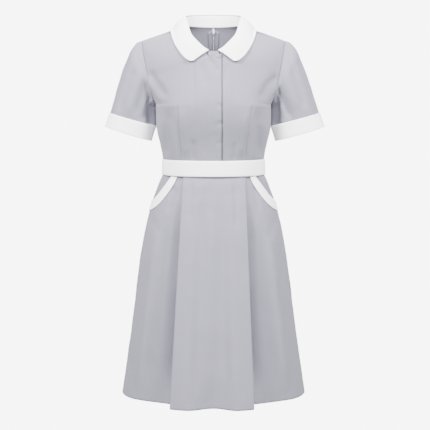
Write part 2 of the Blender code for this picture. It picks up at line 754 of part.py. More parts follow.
def solid(name, parts, frame, metal):
    """One closed solid, joined from overlapping closed parts and placed by a frame."""
    main = None
    for number, build in enumerate(parts):
        mesh = bmesh.new()
        build(mesh)
        piece = add_object(f"{name}_{number}" if number else name, mesh, metal)
        if main is None:
            main = piece
            continue
        joint = main.modifiers.new("Union", "BOOLEAN")
        joint.operation = "UNION"
        joint.object = piece
        piece.hide_render = True
        piece.display_type = "WIRE"
        piece.parent = main
    main.matrix_world = frame
    return main


def rod(mesh, radius, length, height, segments=10):
    turned = Matrix.Translation((0, 0, height)) @ Matrix.Rotation(math.pi / 2, 4, "Y")
    bmesh.ops.create_cone(
        mesh, cap_ends=True, segments=segments, radius1=radius, radius2=radius, depth=length, matrix=turned
    )


def make_slider(metal, frame):
    under = -(CLOTH + TAPE_ROOM + TAPE + SLIDER_ROOM)
    parts = [
        lambda m: box(m, (-0.0025, 0.0025), (-0.0055, 0.0055), (under - 0.0016, under)),
        lambda m: box(m, (-0.0003, 0.0003), (-0.0030, 0.0030), (under - 0.0006, 0.0010)),
        lambda m: box(m, (-0.0017, 0.0017), (-0.0032, 0.0032), (0.0006, 0.0015)),
        lambda m: box(m, (-0.0017, -0.0011), (-0.0008, 0.0008), (0.0011, PIN_HEIGHT + 0.0007)),
        lambda m: box(m, (0.0011, 0.0017), (-0.0008, 0.0008), (0.0011, PIN_HEIGHT + 0.0007)),
        lambda m: rod(m, PIN_RADIUS, 0.0028, PIN_HEIGHT),
    ]
    solid("zip_slider", parts, frame, metal)


def make_pull(metal, frame):
    """The pull: an eye round the slider's pin, and a tab that widens below it."""
    mesh = bmesh.new()
    segments, inner, outer, half = 12, 0.0008, 0.0013, 0.0008
    rings = []
    for radius, x in ((inner, -half), (outer, -half), (outer, half), (inner, half)):
        angles = [math.tau * (i + 0.5) / segments for i in range(segments)]
        rings.append([mesh.verts.new((x, radius * math.cos(a), radius * math.sin(a))) for a in angles])
    for a, b in zip(rings, rings[1:] + rings[:1]):
        for i in range(segments):
            j = (i + 1) % segments
            mesh.faces.new((a[i], a[j], b[j], b[i]))
    eye = add_object("zip_pull", mesh, metal)
    tab = bmesh.new()
    loops = []
    for along, wide in PULL_OUTLINE:
        corners = ((-wide, -0.0005), (wide, -0.0005), (wide, 0.0005), (-wide, 0.0005))
        loops.append([tab.verts.new((x, along, z)) for x, z in corners])
    for a, b in zip(loops, loops[1:]):
        for i in range(4):
            j = (i + 1) % 4
            tab.faces.new((a[i], a[j], b[j], b[i]))
    tab.faces.new(loops[0])
    tab.faces.new(loops[-1])
    tongue = add_object("zip_pull_tab", tab, metal)
    joint = eye.modifiers.new("Union", "BOOLEAN")
    joint.operation = "UNION"
    joint.object = tongue
    tongue.hide_render = True
    tongue.display_type = "WIRE"
    tongue.parent = eye
    eye.matrix_world = frame @ Matrix.Translation((0, 0, PIN_HEIGHT))


def main():
    clear_scene()
    grey = finish("grey_cloth", (0.46, 0.455, 0.49), 0.85)
    white = finish("white_cloth", (0.86, 0.86, 0.88), 0.8)
    enamel = finish("white_enamel", (0.85, 0.85, 0.85), 0.4)
    fronts, bodice_backs = make_bodice(grey)
    tree = surface_tree(fronts + list(bodice_backs.values()))
    make_collar(tree, white)
    make_neck_band(grey)
    make_sleeves(grey, white)
    make_waistband(white)
    skirt_backs = make_skirt(grey)
    make_pockets(grey, white)
    make_zip_tapes(bodice_backs, skirt_backs, grey)
    frame = back_frame([row[0] for row in bodice_backs[LEFT]], SLIDER_DROP)
    make_slider(enamel, frame)
    make_pull(enamel, frame)
    bpy.context.view_layer.update()


main()
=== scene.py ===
"""A short-sleeved uniform dress, filled out as if worn, in grey cloth with a white round collar,
cuffs, waistband and pocket bands.

Metres, +Z up. The front faces -Y and the wearer's right is on -X. The origin is the middle of the
shoulder line. A drop is a distance below that line. Each cloth piece is a thin shell on its solid's
form, drawn finely, with its creases pressed in and its seams rolled in at the edges.
"""

import math
from collections import namedtuple

import bmesh
import bpy
from bpy.props import FloatProperty, FloatVectorProperty, PointerProperty
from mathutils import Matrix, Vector, noise
from mathutils.bvhtree import BVHTree


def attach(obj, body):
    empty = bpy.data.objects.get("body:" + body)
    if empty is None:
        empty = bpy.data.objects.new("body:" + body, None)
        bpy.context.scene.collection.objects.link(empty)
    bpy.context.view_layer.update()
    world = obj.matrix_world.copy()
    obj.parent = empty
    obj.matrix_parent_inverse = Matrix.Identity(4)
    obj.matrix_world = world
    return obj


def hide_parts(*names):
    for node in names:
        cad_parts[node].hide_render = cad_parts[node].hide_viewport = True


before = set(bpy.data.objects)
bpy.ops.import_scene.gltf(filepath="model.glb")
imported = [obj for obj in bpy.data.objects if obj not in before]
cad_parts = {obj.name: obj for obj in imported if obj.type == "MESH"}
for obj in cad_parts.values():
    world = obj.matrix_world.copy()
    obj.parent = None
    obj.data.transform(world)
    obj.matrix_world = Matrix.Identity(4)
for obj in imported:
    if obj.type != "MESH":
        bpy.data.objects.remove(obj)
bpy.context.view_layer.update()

bl_info = {
    "name": "Uniform dress",
    "version": (1, 0, 0),
    "blender": (4, 5, 0),
    "location": "View3D > Sidebar > Dress",
    "description": "Builds a short-sleeved uniform dress with a round collar and a box-pleated skirt",
    "category": "Object",
}


def table_of(columns, rows):
    """A table's rows, with named columns."""
    kind = namedtuple("Row", columns)
    return [kind(*row) for row in rows]


# Cloth and seams
CLOTH = 0.0012
DOUBLED = 0.0018
FOLDED = 0.0016
SEAM_GAP = 0.0003
LAP_GAP = 0.0005
RIGHT, LEFT = -1, 1
SIDES = {"right": RIGHT, "left": LEFT}
X_AXIS, Y_AXIS = Vector((1, 0, 0)), Vector((0, 1, 0))

# Neck ring
NECK_HALF_WIDTH = 0.070
NECK_FRONT = 0.088
NECK_FRONT_DROP = 0.080
NECK_CURVE = 1.64
NECK_BACK = 0.060
NECK_BACK_DROP = 0.003

# Armhole ring
SHOULDER_X = 0.184
SHOULDER_DROP = 0.040
UNDERARM_X = 0.1475
UNDERARM_DROP = 0.203
ARMHOLE_FRONT = 0.048
ARMHOLE_BACK = 0.046
ARMHOLE_SKEW = 1.3
ARMHOLE_LEAN = 0.8

# Bodice
BODICE_END = 0.347
PLACKET_EDGE = 0.020
UNDERLAP = 0.012
UNDERLAP_ROOM = 0.0014
GROOVE_DEPTH = 0.0026
GROOVE_WIDTH = 0.0040
GROOVE_START = 0.0012
LAP_ZONE = 0.045
LAP_REACH = 0.010
BACK_OPENING = 0.0003
COLLAR_OPENING = 0.00006
BUST_SQUARENESS = 2.3
BUST_RISE = 0.1

BODICE = table_of("drop front back half_width", [
    (0.003, 0.0760, 0.0600, 0.1800),
    (0.040, 0.0800, 0.0800, 0.1800),
    (0.080, 0.0880, 0.0930, 0.1720),
    (0.115, 0.1010, 0.1000, 0.1640),
    (0.160, 0.1165, 0.1040, 0.1550),
    (0.203, 0.1250, 0.1025, 0.1482),
    (0.225, 0.1240, 0.1005, 0.1484),
    (0.250, 0.1190, 0.0975, 0.1479),
    (0.278, 0.1110, 0.0940, 0.1440),
    (0.298, 0.1055, 0.0915, 0.1390),
    (0.320, 0.1020, 0.0895, 0.1346),
    (0.347, 0.0988, 0.0883, 0.1300),
])
FRONT_NECK_SHARE = 0.46
BACK_NECK_SHARE = 0.62

# Sleeves: the outer and the inner line of each, and half its depth front to back
SLEEVE_LINES = "outer outer_drop inner inner_drop depth"
SLEEVE = table_of(SLEEVE_LINES, [
    (0.1850, 0.0400, 0.1476, 0.2050, 0.0470),
    (0.1965, 0.0445, 0.1477, 0.2085, 0.0480),
    (0.2045, 0.0535, 0.1477, 0.2120, 0.0490),
    (0.2125, 0.0655, 0.1476, 0.2160, 0.0500),
    (0.2220, 0.0885, 0.1476, 0.2220, 0.0505),
    (0.2320, 0.1140, 0.1475, 0.2290, 0.0505),
    (0.2410, 0.1420, 0.1474, 0.2360, 0.0500),
    (0.2490, 0.1680, 0.1473, 0.2430, 0.0490),
    (0.2570, 0.1970, 0.1474, 0.2500, 0.0480),
    (0.2640, 0.2215, 0.1476, 0.2570, 0.0465),
    (0.2662, 0.2275, 0.1484, 0.2630, 0.0460),
])
CUFF = table_of(SLEEVE_LINES, [
    (0.2669, 0.2227, 0.1462, 0.2573, 0.0496),
    (0.2729, 0.2410, 0.1535, 0.2768, 0.0490),
    (0.2784, 0.2586, 0.1588, 0.2960, 0.0484),
])
ARMHOLE_FADE = 0.35
ARMHOLE_CLEARANCE = -0.0002

# Collar: the angle runs round the neck from the front to the back
COLLAR_FOLD = table_of("angle drop", [
    (9, 0.0660),
    (22, 0.0560),
    (31, 0.0460),
    (41, 0.0360),
    (50.5, 0.0260),
    (57.4, 0.0150),
    (68, -0.0070),
    (80, -0.0180),
    (90, -0.0227),
    (120, -0.0270),
    (150, -0.0295),
    (180, -0.0304),
])
COLLAR_EDGE = table_of("angle across deep drop", [
    (9, 0.0500, -0.0930, 0.0915),
    (14, 0.0560, -0.0920, 0.0933),
    (20, 0.0635, -0.0900, 0.0905),
    (28, 0.0735, -0.0840, 0.0830),
    (38, 0.0860, -0.0740, 0.0680),
    (50, 0.0955, -0.0600, 0.0530),
    (62, 0.1025, -0.0440, 0.0380),
    (75, 0.1065, -0.0240, 0.0250),
    (90, 0.1085, 0.0000, 0.0125),
    (105, 0.1040, 0.0260, 0.0120),
    (122, 0.0900, 0.0500, 0.0150),
    (142, 0.0660, 0.0700, 0.0200),
    (160, 0.0420, 0.0800, 0.0240),
    (170, 0.0280, 0.0820, 0.0245),
    (176, 0.0180, 0.0800, 0.0200),
    (180, 0.0120, 0.0770, 0.0120),
])
COLLAR_START = 9
COLLAR_BOW = 0.0045
BOW_GROWTH = 24
BOW_RISE = 0.7
LEAF_REST = 0.3
FOLD_PAST_NECK = {"front": 0.001, "back": -0.002}
COLLAR_LIFT = 0.0020
UPWARD_LEAN = 0.03
STAND_TOP_ROOM = 0.0037
STAND_FOOT_ROOM = -0.0010
STAND_START = 17.5

# Neck band between the collar's ends
BAND_TOP_DROP = 0.0685
BAND_TOP_HALF = 0.0115
BAND_FOOT_RIGHT = (-0.0140, 0.0800)
BAND_FOOT_LEFT = (0.0180, 0.0860)
BAND_ROUND = 0.170

# Waistband
WAISTBAND_TOP = 0.3417
WAISTBAND_FOOT = 0.3820
WAISTBAND_HALF_WIDTH = (0.1334, 0.1340)
WAISTBAND_FRONT = 0.1018
WAISTBAND_COLUMNS = 220
WAISTBAND_BACK = 0.0912
WAISTBAND_OPENING = 0.0012

# Skirt
SKIRT = table_of("drop half_width front back fold_lift middle_lift", [
    (0.377, 0.1296, 0.0885, 0.0876, 0.0060, 0.0060),
    (0.385, 0.1330, 0.0912, 0.0888, 0.0062, 0.0061),
    (0.402, 0.1407, 0.0975, 0.0925, 0.0068, 0.0062),
    (0.423, 0.1486, 0.1020, 0.0975, 0.0076, 0.0064),
    (0.444, 0.1563, 0.1065, 0.1020, 0.0088, 0.0068),
    (0.465, 0.1629, 0.1095, 0.1060, 0.0100, 0.0072),
    (0.490, 0.1697, 0.1130, 0.1095, 0.0116, 0.0078),
    (0.527, 0.1784, 0.1175, 0.1140, 0.0140, 0.0088),
    (0.580, 0.1884, 0.1220, 0.1190, 0.0176, 0.0104),
    (0.650, 0.1985, 0.1280, 0.1250, 0.0228, 0.0130),
    (0.740, 0.2100, 0.1340, 0.1320, 0.0300, 0.0166),
    (0.850, 0.2253, 0.1400, 0.1410, 0.0396, 0.0210),
    (0.957, 0.2412, 0.1450, 0.1500, 0.0487, 0.0250),
])
HEM_DROP = 0.957
PLEAT_TOP = {RIGHT: 0.0762, LEFT: 0.0800}
PLEAT_HEM = {RIGHT: 0.1094, LEFT: 0.1023}
PLEAT_TUCK = 0.024
PLEAT_TURN_TOP = 0.0015
PLEAT_TURN_HEM = 0.0030
LOBE_PEAK = 0.62
SIDE_FLARE = 0.004
BACK_FLARE = 0.007
FLARE_WAVES = 7

# Pocket mouths: the band's lower edge and its upper edge, which is the mouth
POCKET_MOUTH = table_of("along low_x low_drop high_x high_drop", [
    (0.00, 0.0905, 0.3830, 0.1054, 0.3830),
    (0.25, 0.1024, 0.4067, 0.1160, 0.3970),
    (0.50, 0.1182, 0.4295, 0.1259, 0.4105),
    (0.75, 0.1396, 0.4555, 0.1423, 0.4328),
    (1.00, 0.1655, 0.4764, 0.1586, 0.4505),
])
MOUTH_CUT = table_of("drop x", [(row.high_drop, row.high_x) for row in POCKET_MOUTH])
POCKET_BAND = 0.0010
BAND_ROOM = 0.0015
HIP_UNDERLAP = 0.026
HIP_FOOT = 0.492
HIP_RISE_START = 0.003
HIP_RISE_WIDTH = 0.010
HIP_ROOM = {RIGHT: 0.0016, LEFT: 0.0023}

# Zip
ZIP_FOOT = 0.560
ZIP_LAP = 0.010
ZIP_TOP = 0.0055
ZIP_EDGE = 0.0008
ZIP_STEP = 0.002
TAPE_WIDTH = 0.0140
TAPE = 0.0008
TAPE_ROOM = 0.0005
COIL_PITCH = 0.0014
COIL_SIZE = 0.0024
COIL_ROOM = 0.0007
COIL_TOP = 0.0180

# How finely the cloth is drawn
ROW_STEP = 0.0055
LOW_ROWS = round((BODICE_END - UNDERARM_DROP) / ROW_STEP)
PANEL_COLUMNS = 88
SKIRT_COLUMNS = 40
LOBE_COLUMNS = 30
TURN_STEPS = 9
NECK_ROWS = {"front": 26, "back": 16}
EASE_PASSES = 30
EASE_COLUMNS = 10
PLEAT_EASE_COLUMNS = 4
SLEEVE_TURNS = 96
SLEEVE_ROWS = 44
CUFF_ROWS = 14
# No crease within so many degrees of the underarm seam, and none in the first rows below the armhole
SEAM_ANGLE = 20
SLEEVE_EASE_ROWS = 13
STAND_ROWS, STAND_COLUMNS = 90, 8
BAND_ROWS, BAND_COLUMNS = 14, 20
WAISTBAND_ROWS = 12
MOUTH_ROWS, SKIRT_ROWS, SKIRT_BACK_COLUMNS = 26, 90, 72
HIP_ROWS, HIP_COLUMNS = 28, 26
POCKET_ROWS, POCKET_COLUMNS = 60, 8
# How much further out each sleeve stands at its foot than the solid does
SLEEVE_SPREAD = {RIGHT: 0.0015, LEFT: 0.0085}
COLLAR_ROWS = 110
LEAF_COLUMNS = 26
RIM = 0.42

# Creases pressed into the cloth, in millimetres: points on the piece, half width, and height, which is
# negative in a trough. In front, behind and on the skirt a point is distance across and drop; on a sleeve
# it is the angle round the arm, in degrees, and the drop.
MM = 0.001
Crease = namedtuple("Crease", "points width height")
FRONT_CREASES = [
    # darts, from the waist up to the bust
    Crease([(-76.4, 352), (-84.3, 264), (-88.9, 225), (-92.5, 196)], 2, -1.9),
    Crease([(79.4, 352), (80.6, 300), (91.9, 226), (104.5, 193)], 2, -1.9),
    Crease([(-70, 340), (-80, 260), (-84, 205)], 15, 1.4),
    Crease([(73, 340), (82, 240), (95, 205)], 15, 1.4),
    Crease([(-102, 410), (-108, 310), (-116, 195)], 15, -3.4),
    Crease([(102, 410), (109, 310), (119, 195)], 15, -3.4),
    # from the armholes towards the bust
    Crease([(-166, 112), (-142, 148), (-114, 186)], 8.5, -1.6),
    Crease([(-172, 135), (-150, 166), (-128, 198)], 7, 1.3),
    Crease([(162, 126), (134, 154), (117, 190)], 8, -1.7),
    Crease([(166, 150), (145, 176), (131, 208)], 6.5, 1.3),
    # below the collar and along the lapped front
    Crease([(-15, 86), (0, 100), (14, 124)], 5, -1.6),
    Crease([(-33, 94), (-23, 124), (-17, 160)], 7.5, -0.9),
    Crease([(36, 98), (30, 126), (27, 158)], 7, -0.9),
    Crease([(11, 202), (20, 205)], 3.6, -1.2),
    Crease([(12, 250), (20, 247)], 3.6, -1.2),
    Crease([(12, 299), (20, 296)], 3.6, -0.9),
    Crease([(-18, 175), (-17, 260), (-20, 345)], 9, -0.6),
    # drag from the waist
    Crease([(-126, 338), (-123, 290), (-127, 245)], 7.5, -1),
    Crease([(124, 340), (119, 300), (123, 250)], 7, -1.1),
    Crease([(-48, 345), (-52, 315), (-50, 285)], 6, -0.8),
    Crease([(49, 345), (54, 320), (53, 292)], 5.5, -0.8),
]
BACK_CREASES = [
    Crease([(-74, 352), (-77, 280), (-81, 205)], 2.2, -1.1),
    Crease([(75, 352), (78, 280), (82, 205)], 2.2, -1.1),
    Crease([(-85, 330), (-89, 260)], 8, 0.8),
    Crease([(86, 330), (90, 265)], 8, 0.8),
    Crease([(-164, 120), (-140, 150), (-115, 172)], 8.5, -1.4),
    Crease([(165, 112), (139, 142), (116, 168)], 8, -1.5),
    Crease([(162, 156), (140, 184), (118, 200)], 7, -1),
    Crease([(-161, 164), (-138, 190), (-118, 204)], 6.5, -1),
    Crease([(-20, 40), (-26, 90), (-30, 150)], 9, -0.9),
    Crease([(22, 36), (30, 84), (31, 140)], 9, -0.8),
    Crease([(-4, 300), (-35, 312), (-64, 306)], 5.5, -1),
    Crease([(4, 318), (33, 326), (60, 318)], 5, -1),
    Crease([(-124, 338), (-120, 300), (-123, 255)], 7.5, -1.1),
    Crease([(125, 336), (119, 296), (121, 246)], 7, -1),
]
SLEEVE_CREASES = {
    RIGHT: [
        Crease([(62, 100), (56, 150), (50, 225)], 7.5, -1.7),
        Crease([(86, 92), (82, 150), (74, 235)], 9, 1.2),
        Crease([(112, 110), (102, 165), (98, 238)], 9, -1.4),
        Crease([(128, 130), (122, 190), (124, 262)], 21, -3.4),
        Crease([(140, 165), (128, 205), (120, 245)], 6, -1.3),
        Crease([(150, 195), (148, 225), (148, 262)], 14, -5),
        Crease([(26, 85), (24, 140), (20, 205)], 9, -1),
        Crease([(250, 120), (262, 175), (268, 240)], 7.5, -1.6),
        Crease([(292, 90), (300, 150), (302, 230)], 8, -1.3),
        Crease([(222, 175), (234, 215), (240, 250)], 6, -1.2),
    ],
    LEFT: [
        Crease([(58, 96), (64, 145), (60, 220)], 7.5, -1.8),
        Crease([(84, 90), (88, 140), (82, 225)], 8.5, 1.3),
        Crease([(122, 140), (112, 180), (100, 246)], 6.5, -2.6),
        Crease([(134, 150), (126, 200), (124, 262)], 18, -2.2),
        Crease([(138, 160), (132, 200), (124, 244)], 6, -1.3),
        Crease([(152, 192), (146, 222), (146, 262)], 14, -5.2),
        Crease([(130, 198), (124, 230), (124, 258)], 8.5, 1.3),
        Crease([(30, 80), (30, 130), (24, 200)], 9, -1.1),
        Crease([(246, 116), (256, 170), (264, 238)], 7.5, -1.5),
        Crease([(288, 94), (296, 155), (304, 226)], 8, -1.3),
        Crease([(218, 170), (228, 212), (236, 248)], 6, -1.2),
    ],
}
SKIRT_CREASES = [
    # the centre panel
    Crease([(-26, 395), (-30, 560), (-40, 760), (-46, 955)], 16, -2.4),
    Crease([(20, 400), (22, 580), (28, 780), (30, 955)], 15, -2),
    Crease([(-6, 470), (-7, 700), (-8, 955)], 17, 1.6),
    Crease([(-56, 385), (-56, 430), (-60, 500)], 7, -1),
    Crease([(52, 385), (56, 440), (59, 520)], 7, -1.1),
    Crease([(-10, 385), (-12, 425), (-10, 480)], 8, -0.7),
    # the side panels
    Crease([(-115, 470), (-136, 620), (-154, 790), (-170, 955)], 15, -2.8),
    Crease([(-132, 480), (-164, 660), (-190, 850), (-203, 955)], 16, 1.8),
    Crease([(-165, 560), (-190, 740), (-218, 955)], 12, -2),
    Crease([(112, 480), (133, 650), (148, 820), (160, 955)], 15, -2.6),
    Crease([(133, 490), (162, 680), (188, 955)], 15, 1.8),
    Crease([(164, 540), (193, 730), (216, 955)], 13, -2.2),
    Crease([(-98, 400), (-106, 440), (-120, 475)], 6, -1),
    Crease([(100, 400), (108, 436), (118, 470)], 6, -1),
    Crease([(-170, 486), (-150, 504), (-134, 536)], 9, -0.6),
    Crease([(172, 484), (154, 506), (138, 546)], 9, -0.6),
]
# The hollows just outside the pleat's two folds, pressed into the side panels only
PLEAT_HOLLOWS = [
    Crease([(-79, 440), (-90, 620), (-111, 960)], 19, -7),
    Crease([(82, 440), (90, 640), (105, 960)], 18, -7),
    Crease([(-86, 640), (-112, 960)], 10, -1.6),
    Crease([(86, 620), (104, 960)], 10, -1.8),
]
SKIRT_BACK_CREASES = [
    Crease([(42, 400), (56, 600), (70, 800), (80, 955)], 15, -2.6),
    Crease([(20, 420), (28, 640), (36, 955)], 15, 1.8),
    Crease([(86, 400), (112, 600), (135, 800), (148, 955)], 15, -2.6),
    Crease([(118, 420), (156, 640), (190, 955)], 15, 1.8),
    Crease([(136, 470), (174, 660), (206, 955)], 12, -1.8),
    Crease([(76, 384), (79, 440), (80, 480)], 2.4, -1),
    Crease([(6, 560), (16, 600), (26, 660)], 8, -1),
]
# The same behind on the wearer's right, so that its folds don't mirror those on the left
SKIRT_BACK_RIGHT_SHIFT = 12

HEM_STITCH = 0.0200
STITCH_LIFT = 0.00005
BAND_STITCH_LIFT = 0.00006
HEM_ROW = HEM_DROP - HEM_STITCH
HEM_MARK = Crease([(-400, HEM_ROW / MM), (400, HEM_ROW / MM)], 1.6, -0.35)
# Metres round a sleeve to one degree
ARM_CHART = 0.00085
# A crease reaches this many half widths, fades over this share at each end, and doesn't if it is short
CREASE_REACH = 2.6
CREASE_FADE = 0.22
CREASE_SHORT = 0.030
# The slow unevenness of the cloth: how wide its swells are and how high. A finer one lies on top.
DRIFT = (0.055, 0.0009)
FLAT_DRIFT = (0.05, 0.0004)
CUFF_DRIFT = (0.06, 0.0003)
SLEEVE_DRIFT = (0.045, 0.0009)
DRIFT_FINER = 2.3
DRIFT_FINE_SHARE = 0.4
DRIFT_FINE_START = Vector((7, 3, 5))
SEAM_ROLL = 0.0004
SEAM_ROLL_WIDTH = 0.0022
TURN_UP_EDGE = 0.0015
# Seam allowances: thickness, room to the cloth and reach past the armhole
ALLOWANCE = 0.0005
ALLOWANCE_ROOM = 0.0002
ALLOWANCE_PAST_ARMHOLE = 0.0016

# Flecks in the yarn, as repeats to the metre along and across the threads, for both ways of the weave
FLECK_SCALES = ((160, 1500, 1), (1500, 160, 1))
MOTTLE_SCALE = 16.0

# Camera and light
CAMERA_AIM = (0.0039, 0.0, -0.4882)
CAMERA_PITCH = 6.2
CAMERA_DISTANCE = 3.0
CAMERA_LENS = 96.6
LIGHT_AIM = 0.25
FLOOR_DROP = -3.0
FLOOR_FLAT = 3.6
FLOOR_SWEEP = 2.8
FLOOR_TOP = 4.2
FLOOR_TURNS = 96
FLOOR_GLOW = 6.8
FLOOR_BOUNCE = 0.14
AIR_LIGHT = 0.10
LIGHTS = [
    ("key_light", (-1.5, -1.4, 1.55), 0.8, 310),
    ("other_light", (1.5, -1.4, 1.55), 0.8, 280),
    ("front_light", (0.0, -3.0, 0.7), 1.2, 125),
    ("back_light", (0.0, 2.8, 2.2), 1.6, 300),
]


def read(table, name, key):
    """One column of a table at a key, along a smooth curve that never overshoots its rows."""
    keys = [row[0] for row in table]
    values = [getattr(row, name) for row in table]
    if key <= keys[0]:
        return values[0]
    if key >= keys[-1]:
        return values[-1]
    rises = [(values[i + 1] - values[i]) / (keys[i + 1] - keys[i]) for i in range(len(keys) - 1)]

    def slope(i):
        if i in (0, len(keys) - 1):
            return rises[min(i, len(rises) - 1)]
        before, after = rises[i - 1], rises[i]
        return 0.0 if before * after <= 0 else 2 * before * after / (before + after)

    i = max(n for n in range(len(keys) - 1) if keys[n] <= key)
    span = keys[i + 1] - keys[i]
    t = (key - keys[i]) / span
    near = (1 + 2 * t) * (1 - t) ** 2 * values[i] + t * (1 - t) ** 2 * span * slope(i)
    far = t * t * (3 - 2 * t) * values[i + 1] + t * t * (t - 1) * span * slope(i + 1)
    return near + far


def smoothstep(t):
    """An eased step from 0 to 1."""
    t = min(max(t, 0.0), 1.0)
    return t * t * (3 - 2 * t)


def lerp(a, b, t):
    return a + (b - a) * t


def steps(count):
    """Even shares from 0 to 1, both ends counted."""
    return [i / count for i in range(count + 1)]


def grid_of(rows, columns, point):
    """A grid of points, each worked out from its shares down and across, both from 0 to 1."""
    return [[point(down, across) for across in steps(columns)] for down in steps(rows)]


def on_side(point, side):
    """The point on the wearer's right or left, from one worked out on the left."""
    return Vector((point.x * side, point.y, point.z))


def before_seam(point, side):
    """The same for the front, kept in front of the side seam."""
    return Vector((point.x * side, min(point.y, -SEAM_GAP / 2), point.z))


def grid_normals(grid, closed, square):
    """Outward unit normals of a grid of points. square gives an axis that an edge's normals lose."""
    rows, columns = len(grid), len(grid[0])
    normals = []
    for i in range(rows):
        line = []
        for j in range(columns):
            before, after = (j - 1, (j + 1) % columns) if closed else (max(j - 1, 0), min(j + 1, columns - 1))
            along = grid[i][after] - grid[i][before]
            down = grid[min(i + 1, rows - 1)][j] - grid[max(i - 1, 0)][j]
            line.append(along.cross(down).normalized())
        normals.append(line)
    outward = 0.0
    for row, line in zip(grid, normals):
        core = sum(row, Vector()) / columns if closed else Vector((0, 0, row[0].z))
        outward += sum(normal.dot(point - core) for point, normal in zip(row, line))
    sign = 1 if outward > 0 else -1
    for i, line in enumerate(normals):
        for j, normal in enumerate(line):
            edges = {"first": i == 0, "last": i == rows - 1, "inner": j == 0, "outer": j == columns - 1}
            for edge, axis in square.items():
                if edges[edge]:
                    normal = normal - axis * normal.dot(axis)
            line[j] = normal.normalized() * sign
    return normals


def moved_out(grid, distance, closed=False, square=None):
    """The grid, moved outwards along its normals."""
    normals = grid_normals(grid, closed, square or {})
    return [[p + n * distance for p, n in zip(row, line)] for row, line in zip(grid, normals)]


def neck_front(angle):
    """A point of the front neck seam, from 0 degrees at the centre to 90 at the shoulder."""
    turn = math.radians(angle)
    drop = NECK_FRONT_DROP * max(math.cos(turn), 0) ** NECK_CURVE
    return Vector((NECK_HALF_WIDTH * math.sin(turn), -NECK_FRONT * math.cos(turn), -drop))


def neck_back(angle):
    """The same for the back neck seam."""
    turn = math.radians(angle)
    drop = NECK_BACK_DROP * max(math.cos(turn), 0) ** NECK_CURVE
    return Vector((NECK_HALF_WIDTH * math.sin(turn), NECK_BACK * math.cos(turn), -drop))


def armhole(angle, depth):
    """A point of the armhole seam, from 0 degrees at the shoulder to 180 at the underarm."""
    middle = (SHOULDER_DROP + UNDERARM_DROP) / 2
    reach = (UNDERARM_DROP - SHOULDER_DROP) / 2
    drop = middle - reach * math.cos(math.radians(angle))
    height = (UNDERARM_DROP - drop) / (UNDERARM_DROP - SHOULDER_DROP)
    across = UNDERARM_X + (SHOULDER_X - UNDERARM_X) * max(height, 0) ** ARMHOLE_LEAN
    return Vector((across, depth * math.sin(math.pi * (angle / 180) ** ARMHOLE_SKEW), -drop))


def arc_row(start, end, square, columns):
    """Points from start to end along the rounded section, centred on the body's axis, through both."""
    near, far = abs(start.y), abs(end.y)
    if near < 1e-5:
        return [start.lerp(end, t) for t in steps(columns)]
    share = (far / near) ** square
    width = ((abs(end.x) ** square - share * abs(start.x) ** square) / (1 - share)) ** (1 / square)
    depth = near / (1 - (abs(start.x) / width) ** square) ** (1 / square)

    def turn_of(x):
        return math.copysign(math.asin(min((abs(x) / width) ** (square / 2), 1.0)), x)

    first, last = turn_of(start.x), turn_of(end.x)
    row = []
    for t in steps(columns):
        turn = lerp(first, last, t)
        x = math.copysign(width * abs(math.sin(turn)) ** (2 / square), turn)
        y = math.copysign(depth * max(math.cos(turn), 0) ** (2 / square), start.y)
        rise = (x - start.x) / (end.x - start.x)
        row.append(Vector((x, y, lerp(start.z, end.z, rise))))
    row[-1] = end.copy()
    return row


def bodice_panel(side, facing, edge):
    """The outer face of a bodice panel, waist to shoulder. facing is -1 in front, 1 behind."""
    column = "front" if facing < 0 else "back"
    depth = ARMHOLE_FRONT if facing < 0 else ARMHOLE_BACK
    neck = neck_front if facing < 0 else neck_back
    start_angle = math.degrees(math.asin(edge / NECK_HALF_WIDTH))
    neck_drop = -neck(abs(start_angle)).z
    share = FRONT_NECK_SHARE if facing < 0 else BACK_NECK_SHARE
    below = round(abs(UNDERARM_DROP - neck_drop) / ROW_STEP)
    high = [share * t for t in steps(below)[1:]] + [lerp(share, 1, t) for t in steps(NECK_ROWS[column])[1:]]
    grid = []

    def centre_point(drop):
        reach = (1 - (abs(edge) / read(BODICE, "half_width", drop)) ** 2) ** 0.5
        return Vector((edge, facing * read(BODICE, column, drop) * reach, -drop))

    for t in steps(LOW_ROWS):
        drop = lerp(BODICE_END, UNDERARM_DROP, t)
        start = centre_point(drop)
        end = Vector((read(BODICE, "half_width", drop), facing * SEAM_GAP / 2, -drop))
        bust = smoothstep((BODICE_END - drop) / BUST_RISE)
        grid.append(arc_row(start, end, lerp(2.0, BUST_SQUARENESS, bust), PANEL_COLUMNS))
    for t in high:
        end = armhole(180 * (1 - t), facing * depth)
        end.y = facing * max(abs(end.y), SEAM_GAP / 2)
        if t <= share:
            start = centre_point(lerp(UNDERARM_DROP, neck_drop, t / share))
        else:
            start = neck(lerp(start_angle, 90, (t - share) / (1 - share)))
            start.y = facing * max(abs(start.y), SEAM_GAP / 2)
        if t == 1:
            start = Vector((NECK_HALF_WIDTH, facing * SEAM_GAP / 2, 0))
            end = Vector((SHOULDER_X, facing * SEAM_GAP / 2, -SHOULDER_DROP))
            grid.append([start.lerp(end, s) for s in steps(PANEL_COLUMNS)])
        else:
            grid.append(arc_row(start, end, lerp(BUST_SQUARENESS, 2.0, t), PANEL_COLUMNS))
    return eased([[on_side(p, side) for p in row] for row in grid])


def eased(grid):
    """The panel with its depth smoothed down its columns, all but its outer edge and its ends."""
    columns = len(grid[0])
    for _ in range(EASE_PASSES):
        depths = [[p.y for p in row] for row in grid]
        for i in range(1, len(grid) - 1):
            for j in range(columns - 1):
                mean = (depths[i - 1][j] + 2 * depths[i][j] + depths[i + 1][j]) / 4
                grid[i][j].y = lerp(depths[i][j], mean, smoothstep((columns - 1 - j) / EASE_COLUMNS))
    return grid


